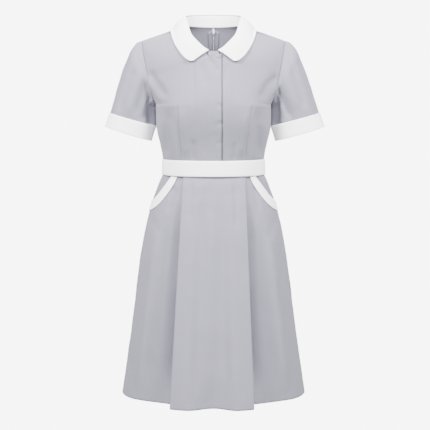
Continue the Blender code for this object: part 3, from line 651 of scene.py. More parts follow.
def on_one_surface(grid, tree):
    """Both fronts follow one surface where they lap."""
    for row in grid:
        for point in row:
            spot = tree.ray_cast(Vector((point.x, -1, point.z)), Y_AXIS)[0]
            if abs(point.x) < LAP_ZONE and spot and abs(spot.y - point.y) < LAP_REACH:
                point.y = spot.y
    return grid


def set_under(grid):
    """The left front's overlapped strip, set behind the right front."""
    inset = Vector((0, CLOTH + UNDERLAP_ROOM + GROOVE_DEPTH, 0))

    def share(x):
        return 1 - smoothstep((x - PLACKET_EDGE - GROOVE_START) / GROOVE_WIDTH)

    return [[p + inset * share(p.x) for p in row] for row in grid]


def surface_tree(grids):
    """The faces of several grids, for finding the nearest point of them all."""
    points, quads = [], []
    for grid in grids:
        base, columns = len(points), len(grid[0])
        points += [p for row in grid for p in row]
        for i in range(len(grid) - 1):
            for j in range(columns - 1):
                corner = base + i * columns + j
                quads.append((corner, corner + 1, corner + columns + 1, corner + columns))
    return BVHTree.FromPolygons(points, quads)


def kept_clear(point, tree, clearance):
    """The point, moved away from the body's axis until it is this far outside the surface."""
    spot, normal, _, _ = tree.find_nearest(point)
    if normal.dot(Vector((spot.x, spot.y, UPWARD_LEAN))) < 0:
        normal = -normal
    short = clearance - (point - spot).dot(normal)
    return point + normal * short if short > 0 else point


def fold_point(angle):
    """A point of the collar's fold, where the leaf turns over the stand."""
    turn = math.radians(angle)
    reach = NECK_FRONT + FOLD_PAST_NECK["front"] if angle < 90 else NECK_BACK + FOLD_PAST_NECK["back"]
    deep = -reach * math.cos(turn)
    across = max(NECK_HALF_WIDTH * math.sin(turn), COLLAR_OPENING)
    return Vector((across, deep, -read(COLLAR_FOLD, "drop", angle)))


def neck_point(angle):
    """A point of the neck seam, from the centre front at 0 degrees to the centre back at 180."""
    point = neck_front(angle) if angle <= 90 else neck_back(180 - angle)
    point.x = max(point.x, COLLAR_OPENING)
    return point


def leaf_edge(angle):
    """A point of the collar's free edge."""
    across, deep, drop = (read(COLLAR_EDGE, name, angle) for name in ("across", "deep", "drop"))
    return Vector((across, deep, -drop))


def collar_leaf(side, tree):
    """The collar's leaf, from the fold at the neck to its free edge, resting just clear of the dress."""

    def leaf_point(round_neck, t):
        angle = lerp(COLLAR_START, 180, round_neck)
        fold, edge = fold_point(angle), leaf_edge(angle)
        out = (Vector((fold.x, fold.y, 0)).normalized() + Vector((0, 0, BOW_RISE))).normalized()
        grown = lerp(0.2, 1.0, smoothstep((angle - COLLAR_START) / BOW_GROWTH))
        bow = COLLAR_BOW * 4 * t * (1 - t) * (1.4 - 0.8 * t) * grown
        point = on_side(fold.lerp(edge, t) + out * bow, side)
        return kept_clear(point, tree, DOUBLED + COLLAR_LIFT) if t > LEAF_REST else point

    return grid_of(COLLAR_ROWS, LEAF_COLUMNS, leaf_point)


def collar_stand(side):
    def stand_point(round_neck, t):
        angle = lerp(STAND_START, 180, round_neck)
        foot, top = neck_point(angle), fold_point(angle)
        up = (top - foot).normalized()
        return on_side((foot + up * STAND_FOOT_ROOM).lerp(top - up * STAND_TOP_ROOM, t), side)

    return grid_of(STAND_ROWS, STAND_COLUMNS, stand_point)


def neck_band_grid():
    top = [Vector((x, 0, -BAND_TOP_DROP)) for x in (-BAND_TOP_HALF, BAND_TOP_HALF)]
    foot = [Vector((x, 0, -drop)) for x, drop in (BAND_FOOT_RIGHT, BAND_FOOT_LEFT)]

    def band_point(t, s):
        point = top[0].lerp(foot[0], t).lerp(top[1].lerp(foot[1], t), s)
        depth = read(BODICE, "front", -point.z) + CLOTH + LAP_GAP
        point.y = -depth * (1 - (point.x / BAND_ROUND) ** 2) ** 0.5
        return point

    return grid_of(BAND_ROWS, BAND_COLUMNS, band_point)


def armhole_ring(angle, side):
    """The armhole seam all the way round, with the front at 90 degrees and the back at 270."""
    front = angle <= 180
    depth = -ARMHOLE_FRONT if front else ARMHOLE_BACK
    point = armhole(angle if front else 360 - angle, depth)
    point += Vector((1, 0, -0.25)).normalized() * ARMHOLE_CLEARANCE
    return on_side(point, side)


def sleeve_ring(row, angle, side):
    """A point round the sleeve at one row, with the outer line at 0 degrees and the front at 90."""
    turn = math.radians(angle)
    outer = Vector((row.outer, 0, -row.outer_drop))
    inner = Vector((row.inner, 0, -row.inner_drop))
    point = (outer + inner) / 2 + (outer - inner) / 2 * math.cos(turn)
    point.y = -row.depth * math.sin(turn)
    return on_side(point, side)


def sleeve_grid(rows, side, joined, count):
    """A sleeve or a cuff. Its first ring is eased onto the armhole seam where it is joined."""
    shoulder, foot = SLEEVE[0].outer_drop, CUFF[-1].outer_drop
    rows = [
        row._replace(outer=row.outer + SLEEVE_SPREAD[side] * (row.outer_drop - shoulder) / (foot - shoulder))
        for row in rows
    ]
    table = table_of("at " + SLEEVE_LINES, [(i / (len(rows) - 1), *row) for i, row in enumerate(rows)])
    angles = [360 * i / SLEEVE_TURNS for i in range(SLEEVE_TURNS)]
    grid = []
    for t in steps(count):
        row = rows[0]._make(read(table, name, t) for name in rows[0]._fields)
        hold = joined * (1 - smoothstep(t / ARMHOLE_FADE))
        ring = []
        for angle in angles:
            shift = armhole_ring(angle, side) - sleeve_ring(rows[0], angle, side)
            ring.append(sleeve_ring(row, angle, side) + shift * hold)
        grid.append(ring)
    return grid


def waistband_grid():
    first = math.asin(WAISTBAND_OPENING / WAISTBAND_HALF_WIDTH[0])

    def band_point(t, s):
        turn = lerp(first, math.tau - first, s)
        depth = WAISTBAND_BACK if math.cos(turn) > 0 else WAISTBAND_FRONT
        width = lerp(*WAISTBAND_HALF_WIDTH, t)
        z = -lerp(WAISTBAND_TOP, WAISTBAND_FOOT, t)
        return Vector((width * math.sin(turn), depth * math.cos(turn), z))

    return grid_of(WAISTBAND_ROWS, WAISTBAND_COLUMNS, band_point)


def fall(drop):
    """How far down the skirt a drop is, from 0 at the waistband to 1 at the hem."""
    return (drop - SKIRT[0].drop) / (HEM_DROP - SKIRT[0].drop)


def skirt_base(x, drop, facing):
    """The plain flared section at one height, with the pleats left out."""
    width = read(SKIRT, "half_width", drop)
    depth = read(SKIRT, "front" if facing < 0 else "back", drop)
    turn = math.asin(min(abs(x) / width, 1.0))
    size = SIDE_FLARE if facing < 0 else BACK_FLARE
    flare = size * fall(drop) ** 2 * math.sin(2 * turn) * math.sin(FLARE_WAVES * turn)
    y = facing * (depth * math.cos(turn) + flare)
    return Vector((math.copysign(width * math.sin(turn), x), y, -drop))


def pleat_fold(side, drop):
    """How far from the centre a pleat's outer fold is."""
    return lerp(PLEAT_TOP[side], PLEAT_HEM[side], max(fall(drop), 0))


def fold_path(side, drop):
    """Half of the skirt front's section: pairs of distance across and lift, centre to inner fold."""
    fold = pleat_fold(side, drop)
    radius = lerp(PLEAT_TURN_TOP, PLEAT_TURN_HEM, fall(drop))
    high = read(SKIRT, "fold_lift", drop)
    middle = read(SKIRT, "middle_lift", drop)
    path = []
    for t in steps(LOBE_COLUMNS):
        x = (fold - radius) * t
        path.append((x, lerp(middle, high, smoothstep(x / fold / LOBE_PEAK))))
    outer = Vector((fold - radius, high - radius))
    inner = Vector((fold - PLEAT_TUCK + radius, radius))
    between = inner - outer
    toward = math.atan2(between.y, between.x) % math.tau
    end = toward + math.acos(2 * radius / between.length)
    for t in steps(TURN_STEPS)[1:]:
        angle = lerp(math.pi / 2, end - math.tau, t)
        path.append((outer.x + radius * math.cos(angle), outer.y + radius * math.sin(angle)))
    for t in steps(TURN_STEPS):
        angle = lerp(end - math.pi, 1.5 * math.pi, t)
        path.append((inner.x + radius * math.cos(angle), inner.y + radius * math.sin(angle)))
    return path


def mouth_x(drop):
    """Where the pocket mouth cuts the skirt front at one height, or None below the mouth."""
    first, second = MOUTH_CUT[:2]
    if drop >= MOUTH_CUT[-1].drop:
        return None
    if drop < first.drop:
        return first.x - (second.x - first.x) / (second.drop - first.drop) * (first.drop - drop)
    return read(MOUTH_CUT, "x", drop)


def front_half(side, drop):
    """The skirt front's section at one height, from the centre to the side seam or pocket mouth."""
    points = []
    for x, lift in fold_path(side, drop):
        base = skirt_base(x, drop, -1)
        points.append(Vector((base.x, base.y - lift, base.z)))
    width = read(SKIRT, "half_width", drop)
    cut = mouth_x(drop)
    start = math.asin(points[-1].x / width)
    stop = math.asin(min((cut or width) / width, 1.0))
    for t in steps(SKIRT_COLUMNS)[1:]:
        point = skirt_base(width * math.sin(lerp(start, stop, t)), drop, -1)
        point.y = min(point.y, -SEAM_GAP / 2)
        points.append(point)
    return [on_side(p, side) for p in points]


def skirt_drops():
    """Heights of the skirt's rows, close together down to the end of the pocket mouths."""
    top, mouth = SKIRT[0].drop, POCKET_MOUTH[-1].high_drop
    upper = [lerp(top, mouth, t) for t in steps(MOUTH_ROWS)]
    return upper[:-1] + [lerp(mouth, HEM_DROP, t) for t in steps(SKIRT_ROWS)]


def skirt_back_grid(side, drops):
    grid = []
    for drop in drops:
        width = read(SKIRT, "half_width", drop)
        start = math.asin(BACK_OPENING / width)
        turns = [lerp(start, math.pi / 2, t) for t in steps(SKIRT_BACK_COLUMNS)]
        row = [skirt_base(width * math.sin(turn), drop, 1) for turn in turns]
        grid.append([Vector((p.x * side, max(p.y, SEAM_GAP / 2), p.z)) for p in row])
    return grid


def on_skirt(x, drop, lift):
    """A point on the skirt front's side panel, moved out by the lift."""
    width = read(SKIRT, "half_width", drop)
    depth = read(SKIRT, "front", drop)
    turn = math.asin(min(abs(x) / width, 1.0))
    base = skirt_base(width * math.sin(turn), drop, -1)
    out = Vector((math.sin(turn) * depth, -math.cos(turn) * width, 0)).normalized()
    return base + out * lift


def hip_rise(x, drop):
    """How far the hip panel has come forward to the skirt's own surface, past the pocket mouth."""
    cut = mouth_x(drop)
    return smoothstep((x - cut - HIP_RISE_START) / HIP_RISE_WIDTH) if cut else 0.0


def hip_grid(side):
    foot = max(row.drop for row in SKIRT if row.drop < HIP_FOOT)

    def hip_point(t, s):
        drop = lerp(SKIRT[0].drop, foot, t)
        width = read(SKIRT, "half_width", drop)
        start = math.asin(((mouth_x(drop) or width) - HIP_UNDERLAP) / width)
        x = width * math.sin(lerp(start, math.pi / 2, s))
        lift = -(CLOTH + HIP_ROOM[side]) * (1 - hip_rise(x, drop))
        return before_seam(on_skirt(x, drop, lift), side)

    return grid_of(HIP_ROWS, HIP_COLUMNS, hip_point)


def pocket_band_grid(side):
    def band_point(along, t):
        x = lerp(*(read(POCKET_MOUTH, column, along) for column in ("low_x", "high_x")), t)
        drop = lerp(*(read(POCKET_MOUTH, column, along) for column in ("low_drop", "high_drop")), t)
        return before_seam(on_skirt(x, drop, POCKET_BAND + BAND_ROOM), side)

    return grid_of(POCKET_ROWS, POCKET_COLUMNS, band_point)


def bump_of(crease, point):
    """Height of one crease at a point of its chart, fading out towards both of its ends."""
    total = 0.0
    nearest, place = 1e9, 0.0
    for (ax, ay), (bx, by) in zip(crease.points, crease.points[1:]):
        length = math.hypot(bx - ax, by - ay)
        t = ((point[0] - ax) * (bx - ax) + (point[1] - ay) * (by - ay)) / length ** 2
        t = min(max(t, 0), 1)
        away = math.hypot(point[0] - lerp(ax, bx, t), point[1] - lerp(ay, by, t))
        if away < nearest:
            nearest, place = away, total + t * length
        total += length
    if nearest > CREASE_REACH * crease.width:
        return 0.0
    along = place / total
    fade = smoothstep(along / CREASE_FADE) * smoothstep((1 - along) / CREASE_FADE)
    if total <= CREASE_SHORT:
        fade = 1.0
    return crease.height * math.exp(-((nearest / crease.width) ** 2)) * fade


class Relief:
    """The creases of one chart, kept with their boxes, so that far ones cost nothing."""

    def __init__(self, creases, strength, across=MM):
        self.strength = strength
        self.kept = []
        for crease in creases:
            points = [(x * across, drop * MM) for x, drop in crease.points]
            width = crease.width * MM
            reach = CREASE_REACH * width
            xs, ys = zip(*points)
            box = (min(xs) - reach, max(xs) + reach, min(ys) - reach, max(ys) + reach)
            self.kept.append((*box, Crease(points, width, crease.height * MM)))

    def at(self, across, drop):
        height = 0.0
        for low_x, high_x, low_y, high_y, crease in self.kept:
            if low_x < across < high_x and low_y < drop < high_y:
                height += bump_of(crease, (across, drop))
        return height * self.strength


def drift(point, size=DRIFT[0], amount=DRIFT[1]):
    """The slow unevenness of cloth that hangs by itself."""
    fine = noise.noise(point / size * DRIFT_FINER + DRIFT_FINE_START)
    return noise.noise(point / size) * amount + fine * amount * DRIFT_FINE_SHARE


def flat_drift(point, i, j):
    """The drift of a piece that lies flatter than the rest."""
    return drift(point, *FLAT_DRIFT)


def chart_height(relief, layer):
    """The height of a chart's creases and of a drift of its own, as pressed asks for it."""
    return lambda p, i, j: relief.at(p.x, -p.z) + drift(Vector((p.x, layer, p.z)))


def lengths(points):
    """How far along a line each of its points is."""
    total, found = 0.0, [0.0]
    for a, b in zip(points, points[1:]):
        total += (b - a).length
        found.append(total)
    return found


def seam_rolls(grid, edges):
    """How far each point is rolled inwards by the seams along the named edges."""
    rows, columns = len(grid), len(grid[0])
    across = [lengths(row) for row in grid]
    down = list(zip(*[lengths([grid[i][j] for i in range(rows)]) for j in range(columns)]))
    rolls = []
    for i in range(rows):
        line = []
        for j in range(columns):
            away = {
                "first": down[i][j],
                "last": down[rows - 1][j] - down[i][j],
                "inner": across[i][j],
                "outer": across[i][columns - 1] - across[i][j],
            }
            line.append(-SEAM_ROLL * sum(math.exp(-((away[edge] / SEAM_ROLL_WIDTH) ** 2)) for edge in edges))
        rolls.append(line)
    return rolls


def pressed(grid, height, seams=(), closed=False, square=None):
    """The grid with its seams pressed in, and its creases, which height(point, row, column) gives."""
    normals = grid_normals(grid, closed, square or {})
    rolls = seam_rolls(grid, seams)
    return [
        [p + normals[i][j] * (height(p, i, j) + rolls[i][j]) for j, p in enumerate(row)]
        for i, row in enumerate(grid)
    ]


def linked(name, data):
    obj = bpy.data.objects.new(name, data)
    bpy.context.scene.collection.objects.link(obj)
    return obj


def shell(name, grid, thickness, material, closed=False, square=None, turned=()):
    """A thin closed shell: the grid is its outer face, and its edges are rounded within its outline.

    turned names the edges with a turn-up, as (edge, depth), where the shell is twice as thick inside.
    """
    rows, columns = len(grid), len(grid[0])
    normals = grid_normals(grid, closed, square or {})
    down = [lengths([grid[i][j] for i in range(rows)]) for j in range(columns)]
    inner = []
    for i in range(rows):
        line = []
        for j in range(columns):
            depth = thickness
            for edge, fold in turned:
                away = down[j][rows - 1] - down[j][i] if edge == "last" else down[j][i]
                depth += thickness * smoothstep((fold - away) / TURN_UP_EDGE)
            line.append(grid[i][j] - normals[i][j] * depth)
        inner.append(line)
    faces_at = [[list(row) for row in grid], [list(row) for row in inner]]
    middles = {}

    def round_off(i, j, away_i, away_j):
        """Draws both faces' edge points in a little, and leaves a point between them at the true edge."""
        middles[i, j] = (grid[i][j] + inner[i][j]) / 2
        half = (grid[i][j] - inner[i][j]).length / 2
        for face, source in zip(faces_at, (grid, inner)):
            inwards = source[away_i][away_j] - source[i][j]
            face[i][j] = face[i][j] + inwards.normalized() * min(half * RIM * 2, inwards.length * 0.5)

    for j in range(columns):
        round_off(0, j, 1, j)
        round_off(rows - 1, j, rows - 2, j)
    if not closed:
        for i in range(rows):
            round_off(i, 0, i, 1)
            round_off(i, columns - 1, i, columns - 2)
    points, uvs, index = [], [], {}
    along = [lengths(row + ([row[0]] if closed else [])) for row in grid]
    middle_column = [row[columns // 2] for row in grid]
    fall_at = lengths(middle_column)
    for layer, face in enumerate(faces_at):
        for i in range(rows):
            for j in range(columns):
                index[layer, i, j] = len(points)
                points.append(face[i][j])
                uvs.append((along[i][j] - along[i][-1] / 2, fall_at[i]))
    for (i, j), point in middles.items():
        index["edge", i, j] = len(points)
        points.append(point)
        uvs.append((along[i][j] - along[i][-1] / 2, fall_at[i]))
    faces = []
    turns = columns if closed else columns - 1
    for i in range(rows - 1):
        for j in range(turns):
            k = (j + 1) % columns
            faces.append([index[0, i, j], index[0, i, k], index[0, i + 1, k], index[0, i + 1, j]])
            faces.append([index[1, i, j], index[1, i + 1, j], index[1, i + 1, k], index[1, i, k]])
    borders = [((i, j), (i, (j + 1) % columns)) for i in (0, rows - 1) for j in range(turns)]
    if not closed:
        borders += [((i, j), (i + 1, j)) for j in (0, columns - 1) for i in range(rows - 1)]
    for a, b in borders:
        faces.append([index[0, *a], index[0, *b], index["edge", *b], index["edge", *a]])
        faces.append([index["edge", *a], index["edge", *b], index[1, *b], index[1, *a]])
    data = bpy.data.meshes.new(name)
    data.from_pydata([tuple(p) for p in points], [], faces)
    layer = data.uv_layers.new(name="cloth")
    for loop in data.loops:
        layer.data[loop.index].uv = uvs[loop.vertex_index]
    mesh = bmesh.new()
    mesh.from_mesh(data)
    bmesh.ops.recalc_face_normals(mesh, faces=mesh.faces)
    mesh.to_mesh(data)
    mesh.free()
    data.materials.append(material)
    data.shade_smooth()
    return linked(name, data)


class Tree:
    """A short way to add and wire the nodes of one node tree."""

    def __init__(self, tree):
        self.tree = tree

    def add(self, kind, settings=None, **inputs):
        node = self.tree.nodes.new(kind)
        for name, value in (settings or {}).items():
            setattr(node, name, value)
        for name, value in inputs.items():
            self.give(node.inputs[name.replace("_", " ")], value)
        return node

    def give(self, socket, value):
        if isinstance(value, bpy.types.NodeSocket):
            self.tree.links.new(value, socket)
        else:
            socket.default_value = value

    def mixed(self, share, low, high):
        """The colour between two, at a share."""
        node = self.add("ShaderNodeMix", {"data_type": "RGBA"})
        for index, value in ((0, share), (6, low), (7, high)):
            self.give(node.inputs[index], value)
        return node.outputs[2]

    def maths(self, operation, a, b=0.0, c=None):
        node = self.tree.nodes.new("ShaderNodeMath")
        node.operation = operation
        for socket, value in zip(node.inputs, (a, b) if c is None else (a, b, c)):
            self.give(socket, value)
        return node.outputs[0]


def new_group(name, kind, sockets):
    """A node group with named inputs and outputs, each (direction, name, socket type, default)."""
    group = bpy.data.node_groups.new(name, kind)
    for direction, label, socket_type, default in sockets:
        socket = group.interface.new_socket(name=label, in_out=direction, socket_type=socket_type)
        if default is not None:
            socket.default_value = default
    return group


def weave_group():
    """Plain-woven cloth: threads over and under, with painted shade on the lower, flecked yarn and slow
    mottling.
    """
    group = new_group("Plain weave", "ShaderNodeTree", [
        ("INPUT", "Thread pitch", "NodeSocketFloat", 0.0005),
        ("INPUT", "Colour", "NodeSocketColor", (0.5, 0.5, 0.5, 1)),
        ("INPUT", "Deep colour", "NodeSocketColor", (0.4, 0.4, 0.4, 1)),
        ("INPUT", "Fleck", "NodeSocketFloat", 0.5),
        ("INPUT", "Mottle", "NodeSocketFloat", 0.5),
        ("OUTPUT", "Colour", "NodeSocketColor", None),
        ("OUTPUT", "Height", "NodeSocketFloat", None),
        ("OUTPUT", "Roughness", "NodeSocketFloat", None),
    ])
    tree = Tree(group)
    given = group.nodes.new("NodeGroupInput").outputs
    result = group.nodes.new("NodeGroupOutput")
    chart = tree.add("ShaderNodeUVMap", {"uv_map": "cloth"}).outputs[0]
    split = tree.add("ShaderNodeSeparateXYZ", Vector=chart)
    waves = []
    for axis in (0, 1):
        turns = tree.maths("MULTIPLY", split.outputs[axis], math.pi)
        waves.append(tree.maths("SINE", tree.maths("DIVIDE", turns, given["Thread pitch"])))
    over = tree.maths("MULTIPLY_ADD", tree.maths("MULTIPLY", *waves), 0.5, 0.5)
    flecks = []
    for scale in FLECK_SCALES:
        placed = tree.add("ShaderNodeMapping", Vector=chart, Scale=scale)
        fleck = tree.add("ShaderNodeTexNoise", Vector=placed.outputs[0], Scale=1.0, Detail=3.0)
        flecks.append(fleck.outputs["Fac"])
    yarn = tree.maths("MULTIPLY_ADD", tree.maths("ADD", *flecks), 0.5, -0.5)
    object_place = tree.add("ShaderNodeTexCoord").outputs["Object"]
    slow = tree.add("ShaderNodeTexNoise", Vector=object_place, Scale=MOTTLE_SCALE, Detail=4.0, Roughness=0.55)
    slow_part = tree.maths("MULTIPLY", tree.maths("ADD", slow.outputs["Fac"], -0.5), given["Mottle"])
    yarn_part = tree.maths("MULTIPLY", yarn, given["Fleck"])
    # Painted light and shade of the weave: threads on top are painted lighter and those beneath darker
    weave_shade = tree.maths("MULTIPLY_ADD", over, 0.18, -0.09)
    light = tree.maths("ADD", tree.maths("ADD", slow_part, yarn_part), weave_shade)
    share = tree.maths("MULTIPLY_ADD", light, 1.0, 0.5)
    tree.give(result.inputs["Colour"], tree.mixed(share, given["Deep colour"], given["Colour"]))
    tree.give(result.inputs["Height"], tree.maths("ADD", over, tree.maths("MULTIPLY", yarn, 0.8)))
    tree.give(result.inputs["Roughness"], tree.maths("MULTIPLY_ADD", slow.outputs["Fac"], 0.12, 0.78))
    return group


def new_material(name, **values):
    """A new finish, its tree and its shader, with the shader's fixed inputs set."""
    material = bpy.data.materials.new(name)
    material.use_nodes = True
    shader = material.node_tree.nodes["Principled BSDF"]
    for label, value in values.items():
        shader.inputs[label.replace("_", " ")].default_value = value
    return material, Tree(material.node_tree), shader


def cloth_material(name, light, deep, pitch, fleck, mottle, sheen, bump):
    material, tree, shader = new_material(
        name, Sheen_Weight=sheen, Sheen_Roughness=0.5, Specular_IOR_Level=0.25
    )
    weave = tree.add(
        "ShaderNodeGroup", {"node_tree": bpy.data.node_groups.get("Plain weave") or weave_group()},
        Thread_pitch=pitch, Colour=(*light, 1), Deep_colour=(*deep, 1), Fleck=fleck, Mottle=mottle,
    )
    raised = tree.add("ShaderNodeBump", Strength=bump, Distance=0.00018, Height=weave.outputs["Height"])
    tree.give(shader.inputs["Base Color"], weave.outputs["Colour"])
    tree.give(shader.inputs["Roughness"], weave.outputs["Roughness"])
    tree.give(shader.inputs["Normal"], raised.outputs[0])
    return material


def grained_material(name, light, deep, scale, **values):
    """A finish whose colour runs between two with a fine grain: it, its tree, its shader and the grain."""
    material, tree, shader = new_material(name, **values)
    place = tree.add("ShaderNodeTexCoord").outputs["Object"]
    grain = tree.add("ShaderNodeTexNoise", Vector=place, Scale=scale, Detail=2.0).outputs["Fac"]
    tree.give(shader.inputs["Base Color"], tree.mixed(grain, (*deep, 1), (*light, 1)))
    return material, tree, shader, grain


def enamel_material(name, colour):
    """White enamel on cast metal: smooth, with a faint orange-peel whose dimples are painted darker as
    painted shade.
    """
    # The darker colour goes into the orange-peel's dimples, as painted shade
    dimple_shade = [c * 0.94 for c in colour]
    material, tree, shader, peel = grained_material(name, colour, dimple_shade, 900.0, Coat_Weight=0.3)
    tree.give(shader.inputs["Roughness"], tree.maths("MULTIPLY_ADD", peel, 0.15, 0.22))
    bump = tree.add("ShaderNodeBump", Strength=0.15, Distance=0.00005, Height=peel)
    tree.give(shader.inputs["Normal"], bump.outputs[0])
    return material


def thread_material(name, light, deep):
    """Spun sewing thread: fine twisted plies along its length."""
    return grained_material(name, light, deep, 1400.0, Roughness=0.6, Sheen_Weight=0.2)[0]


def material_of(slot):
    """One of the dress's finishes, made when it is first asked for."""
    colours = bpy.context.scene.dress_colours
    sizes = bpy.context.scene.dress_sizes
    name = f"dress_{slot}"
    if name in bpy.data.materials:
        return bpy.data.materials[name]
    grey, white = colours.grey[:], colours.white[:]
    deep = [c * 0.80 for c in grey]
    pale = [c * 0.95 for c in white]
    if slot == "grey_cloth":
        return cloth_material(name, grey, deep, sizes.thread_pitch, 0.9, 0.35, 0.12, 0.6)
    if slot == "white_cloth":
        return cloth_material(name, white, pale, sizes.thread_pitch * 0.85, 0.5, 0.3, 0.08, 0.4)
    if slot == "grey_thread":
        return thread_material(name, grey, deep)
    if slot == "white_thread":
        return thread_material(name, white, pale)
    return enamel_material(name, colours.enamel[:])


def repeat_group(name, form):
    """Geometry Nodes that set one small form, again and again, along the edges of a path."""
    group = new_group(name, "GeometryNodeTree", [
        ("INPUT", "Geometry", "NodeSocketGeometry", None),
        ("INPUT", "Pitch", "NodeSocketFloat", 0.003),
        ("INPUT", "Length", "NodeSocketFloat", 0.0021),
        ("INPUT", "Width", "NodeSocketFloat", 0.0005),
        ("INPUT", "Unevenness", "NodeSocketFloat", 0.1),
        ("INPUT", "Seed", "NodeSocketInt", 3),
        ("INPUT", "Material", "NodeSocketMaterial", None),
        ("OUTPUT", "Geometry", "NodeSocketGeometry", None),
    ])
    tree = Tree(group)
    given = group.nodes.new("NodeGroupInput").outputs
    result = group.nodes.new("NodeGroupOutput")
    line = tree.add("GeometryNodeMeshToCurve", Mesh=given["Geometry"])
    spaced = tree.add(
        "GeometryNodeResampleCurve", {"mode": "LENGTH"}, Curve=line.outputs[0], Length=given["Pitch"]
    )
    along = tree.add("GeometryNodeInputTangent")
    turned = tree.add("FunctionNodeAlignRotationToVector", {"axis": "Z"}, Vector=along.outputs[0])
    if form == "stitch":
        unit = tree.add("GeometryNodeMeshIcoSphere", Radius=0.5, Subdivisions=1).outputs["Mesh"]
    else:
        loop = tree.add("GeometryNodeCurvePrimitiveCircle", Resolution=8, Radius=0.5)
        wire = tree.add("GeometryNodeCurvePrimitiveCircle", Resolution=4, Radius=0.11)
        tube = tree.add("GeometryNodeCurveToMesh", Curve=loop.outputs[0], Profile_Curve=wire.outputs[0])
        unit = tube.outputs[0]
    uneven = tree.add("FunctionNodeRandomValue", {"data_type": "FLOAT"})
    tree.give(uneven.inputs[2], tree.maths("SUBTRACT", 1.0, given["Unevenness"]))
    tree.give(uneven.inputs[3], tree.maths("ADD", 1.0, given["Unevenness"]))
    tree.give(uneven.inputs[8], given["Seed"])
    long = tree.maths("MULTIPLY", given["Length"], uneven.outputs[1])
    size = tree.add("ShaderNodeCombineXYZ", X=given["Width"], Y=given["Width"], Z=long)
    placed = tree.add(
        "GeometryNodeInstanceOnPoints",
        Points=spaced.outputs[0], Instance=unit, Rotation=turned.outputs[0], Scale=size.outputs[0],
    )
    real = tree.add("GeometryNodeRealizeInstances", Geometry=placed.outputs[0])
    painted = tree.add("GeometryNodeSetMaterial", Geometry=real.outputs[0], Material=given["Material"])
    tree.give(result.inputs[0], painted.outputs[0])
    return group


def repeated(name, paths, group, material, **values):
    """One plain mesh of small forms repeated along paths, each a list of points."""
    points, edges = [], []
    for path in paths:
        base = len(points)
        points += [tuple(p) for p in path]
        edges += [(base + n, base + n + 1) for n in range(len(path) - 1)]
    data = bpy.data.meshes.new(name)
    data.from_pydata(points, edges, [])
    obj = linked(name, data)
    modifier = obj.modifiers.new("Repeat", "NODES")
    modifier.node_group = group
    for socket in group.interface.items_tree:
        value = {**values, "Material": material}.get(socket.name)
        if socket.in_out == "INPUT" and value is not None:
            modifier[socket.identifier] = value
    bpy.context.view_layer.update()
    graph = bpy.context.evaluated_depsgraph_get()
    made = bpy.data.meshes.new_from_object(obj.evaluated_get(graph))
    obj.modifiers.remove(modifier)
    obj.data = made
    made.materials.clear()
    made.materials.append(material)
    bpy.data.meshes.remove(data)
    return obj


# The finished grid of each piece that is sewn, by name
drawn = {}


def sew(name, grid, thickness, slot, closed=False, square=None, turned=()):
    """Makes one sewn piece from its finished grid, in the place of the solid of the same name."""
    piece = shell(name + "_cloth", grid, thickness, material_of(slot), closed, square, turned)
    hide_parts(name)
    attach(piece, "dress")
    drawn[name] = grid
    return piece


class SewBodice(bpy.types.Operator):
    """The four bodice panels: the lapped fronts with their darts, and the two backs"""

    bl_idname = "dress.sew_bodice"
    bl_label = "Sew bodice"

    def execute(self, context):
        sizes = context.scene.dress_sizes
        front = chart_height(Relief(FRONT_CREASES, sizes.crease_strength), 0)
        back = chart_height(Relief(BACK_CREASES, sizes.crease_strength), 5)
        whole = surface_tree([bodice_panel(side, -1, 0.0) for side in (RIGHT, LEFT)])
        seams = {"outer": Y_AXIS, "last": Y_AXIS}
        for name, side, edge in (("right", RIGHT, -PLACKET_EDGE), ("left", LEFT, -UNDERLAP)):
            panel = on_one_surface(bodice_panel(side, -1, edge), whole)
            panel = pressed(panel, front, ("outer", "last"), square=seams)
            panel = set_under(panel) if side == LEFT else panel
            sew(f"bodice_front_{name}", panel, sizes.cloth, "grey_cloth", square=seams)
        seams["inner"] = X_AXIS
        for name, side in SIDES.items():
            panel = pressed(bodice_panel(side, 1, BACK_OPENING), back, tuple(seams), square=seams)
            sew(f"bodice_back_{name}", panel, sizes.cloth, "grey_cloth", square=seams)
        return {"FINISHED"}


def mirrored(point, axis):
    other = point.copy()
    other[axis] = -other[axis]
    return other


def add_allowance(name, strip):
    """The two seam allowances pressed open behind a seam, as one strip just inside the cloth."""
    inside = moved_out(strip, -(CLOTH + ALLOWANCE_ROOM))
    piece = shell(name, inside, ALLOWANCE, material_of("grey_cloth"))
    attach(piece, "dress")
    length = max(lengths(inside[0])[-1], lengths([row[0] for row in inside])[-1])


class PressSeams(bpy.types.Operator):
    """The seam allowances inside: side seams, shoulders, armholes and the centre back below the zip"""

    bl_idname = "dress.press_seams"
    bl_label = "Press seams"

    def execute(self, context):
        for name in SIDES:
            back, skirt = drawn[f"bodice_back_{name}"], drawn[f"skirt_back_{name}"]
            for label, rows in (("bodice_side", back[: LOW_ROWS + 1]), ("skirt_side", skirt)):
                strip = [[*(mirrored(p, 1) for p in row[-5:-1]), *row[-2:-6:-1]] for row in rows]
                add_allowance(f"{label}_seam_{name}", strip)
            top = back[-5:-1]
            add_allowance(f"shoulder_seam_{name}", [[mirrored(p, 1) for p in row] for row in top] + top[::-1])
            for facing in ("front", "back"):
                strip = []
                for row in drawn[f"bodice_{facing}_{name}"][LOW_ROWS:]:
                    past_edge = row[-1] + (row[-1] - row[-2]).normalized() * ALLOWANCE_PAST_ARMHOLE
                    strip.append([*row[-5:-1], past_edge])
                add_allowance(f"armhole_seam_{facing}_{name}", strip)
        below_zip = [row for row in drawn["skirt_back_left"] if -row[0].z > ZIP_FOOT - ZIP_LAP]
        centre = [[*(mirrored(p, 0) for p in row[3:0:-1]), *row[1:4]] for row in below_zip]
        add_allowance("centre_back_seam", centre)
        return {"FINISHED"}


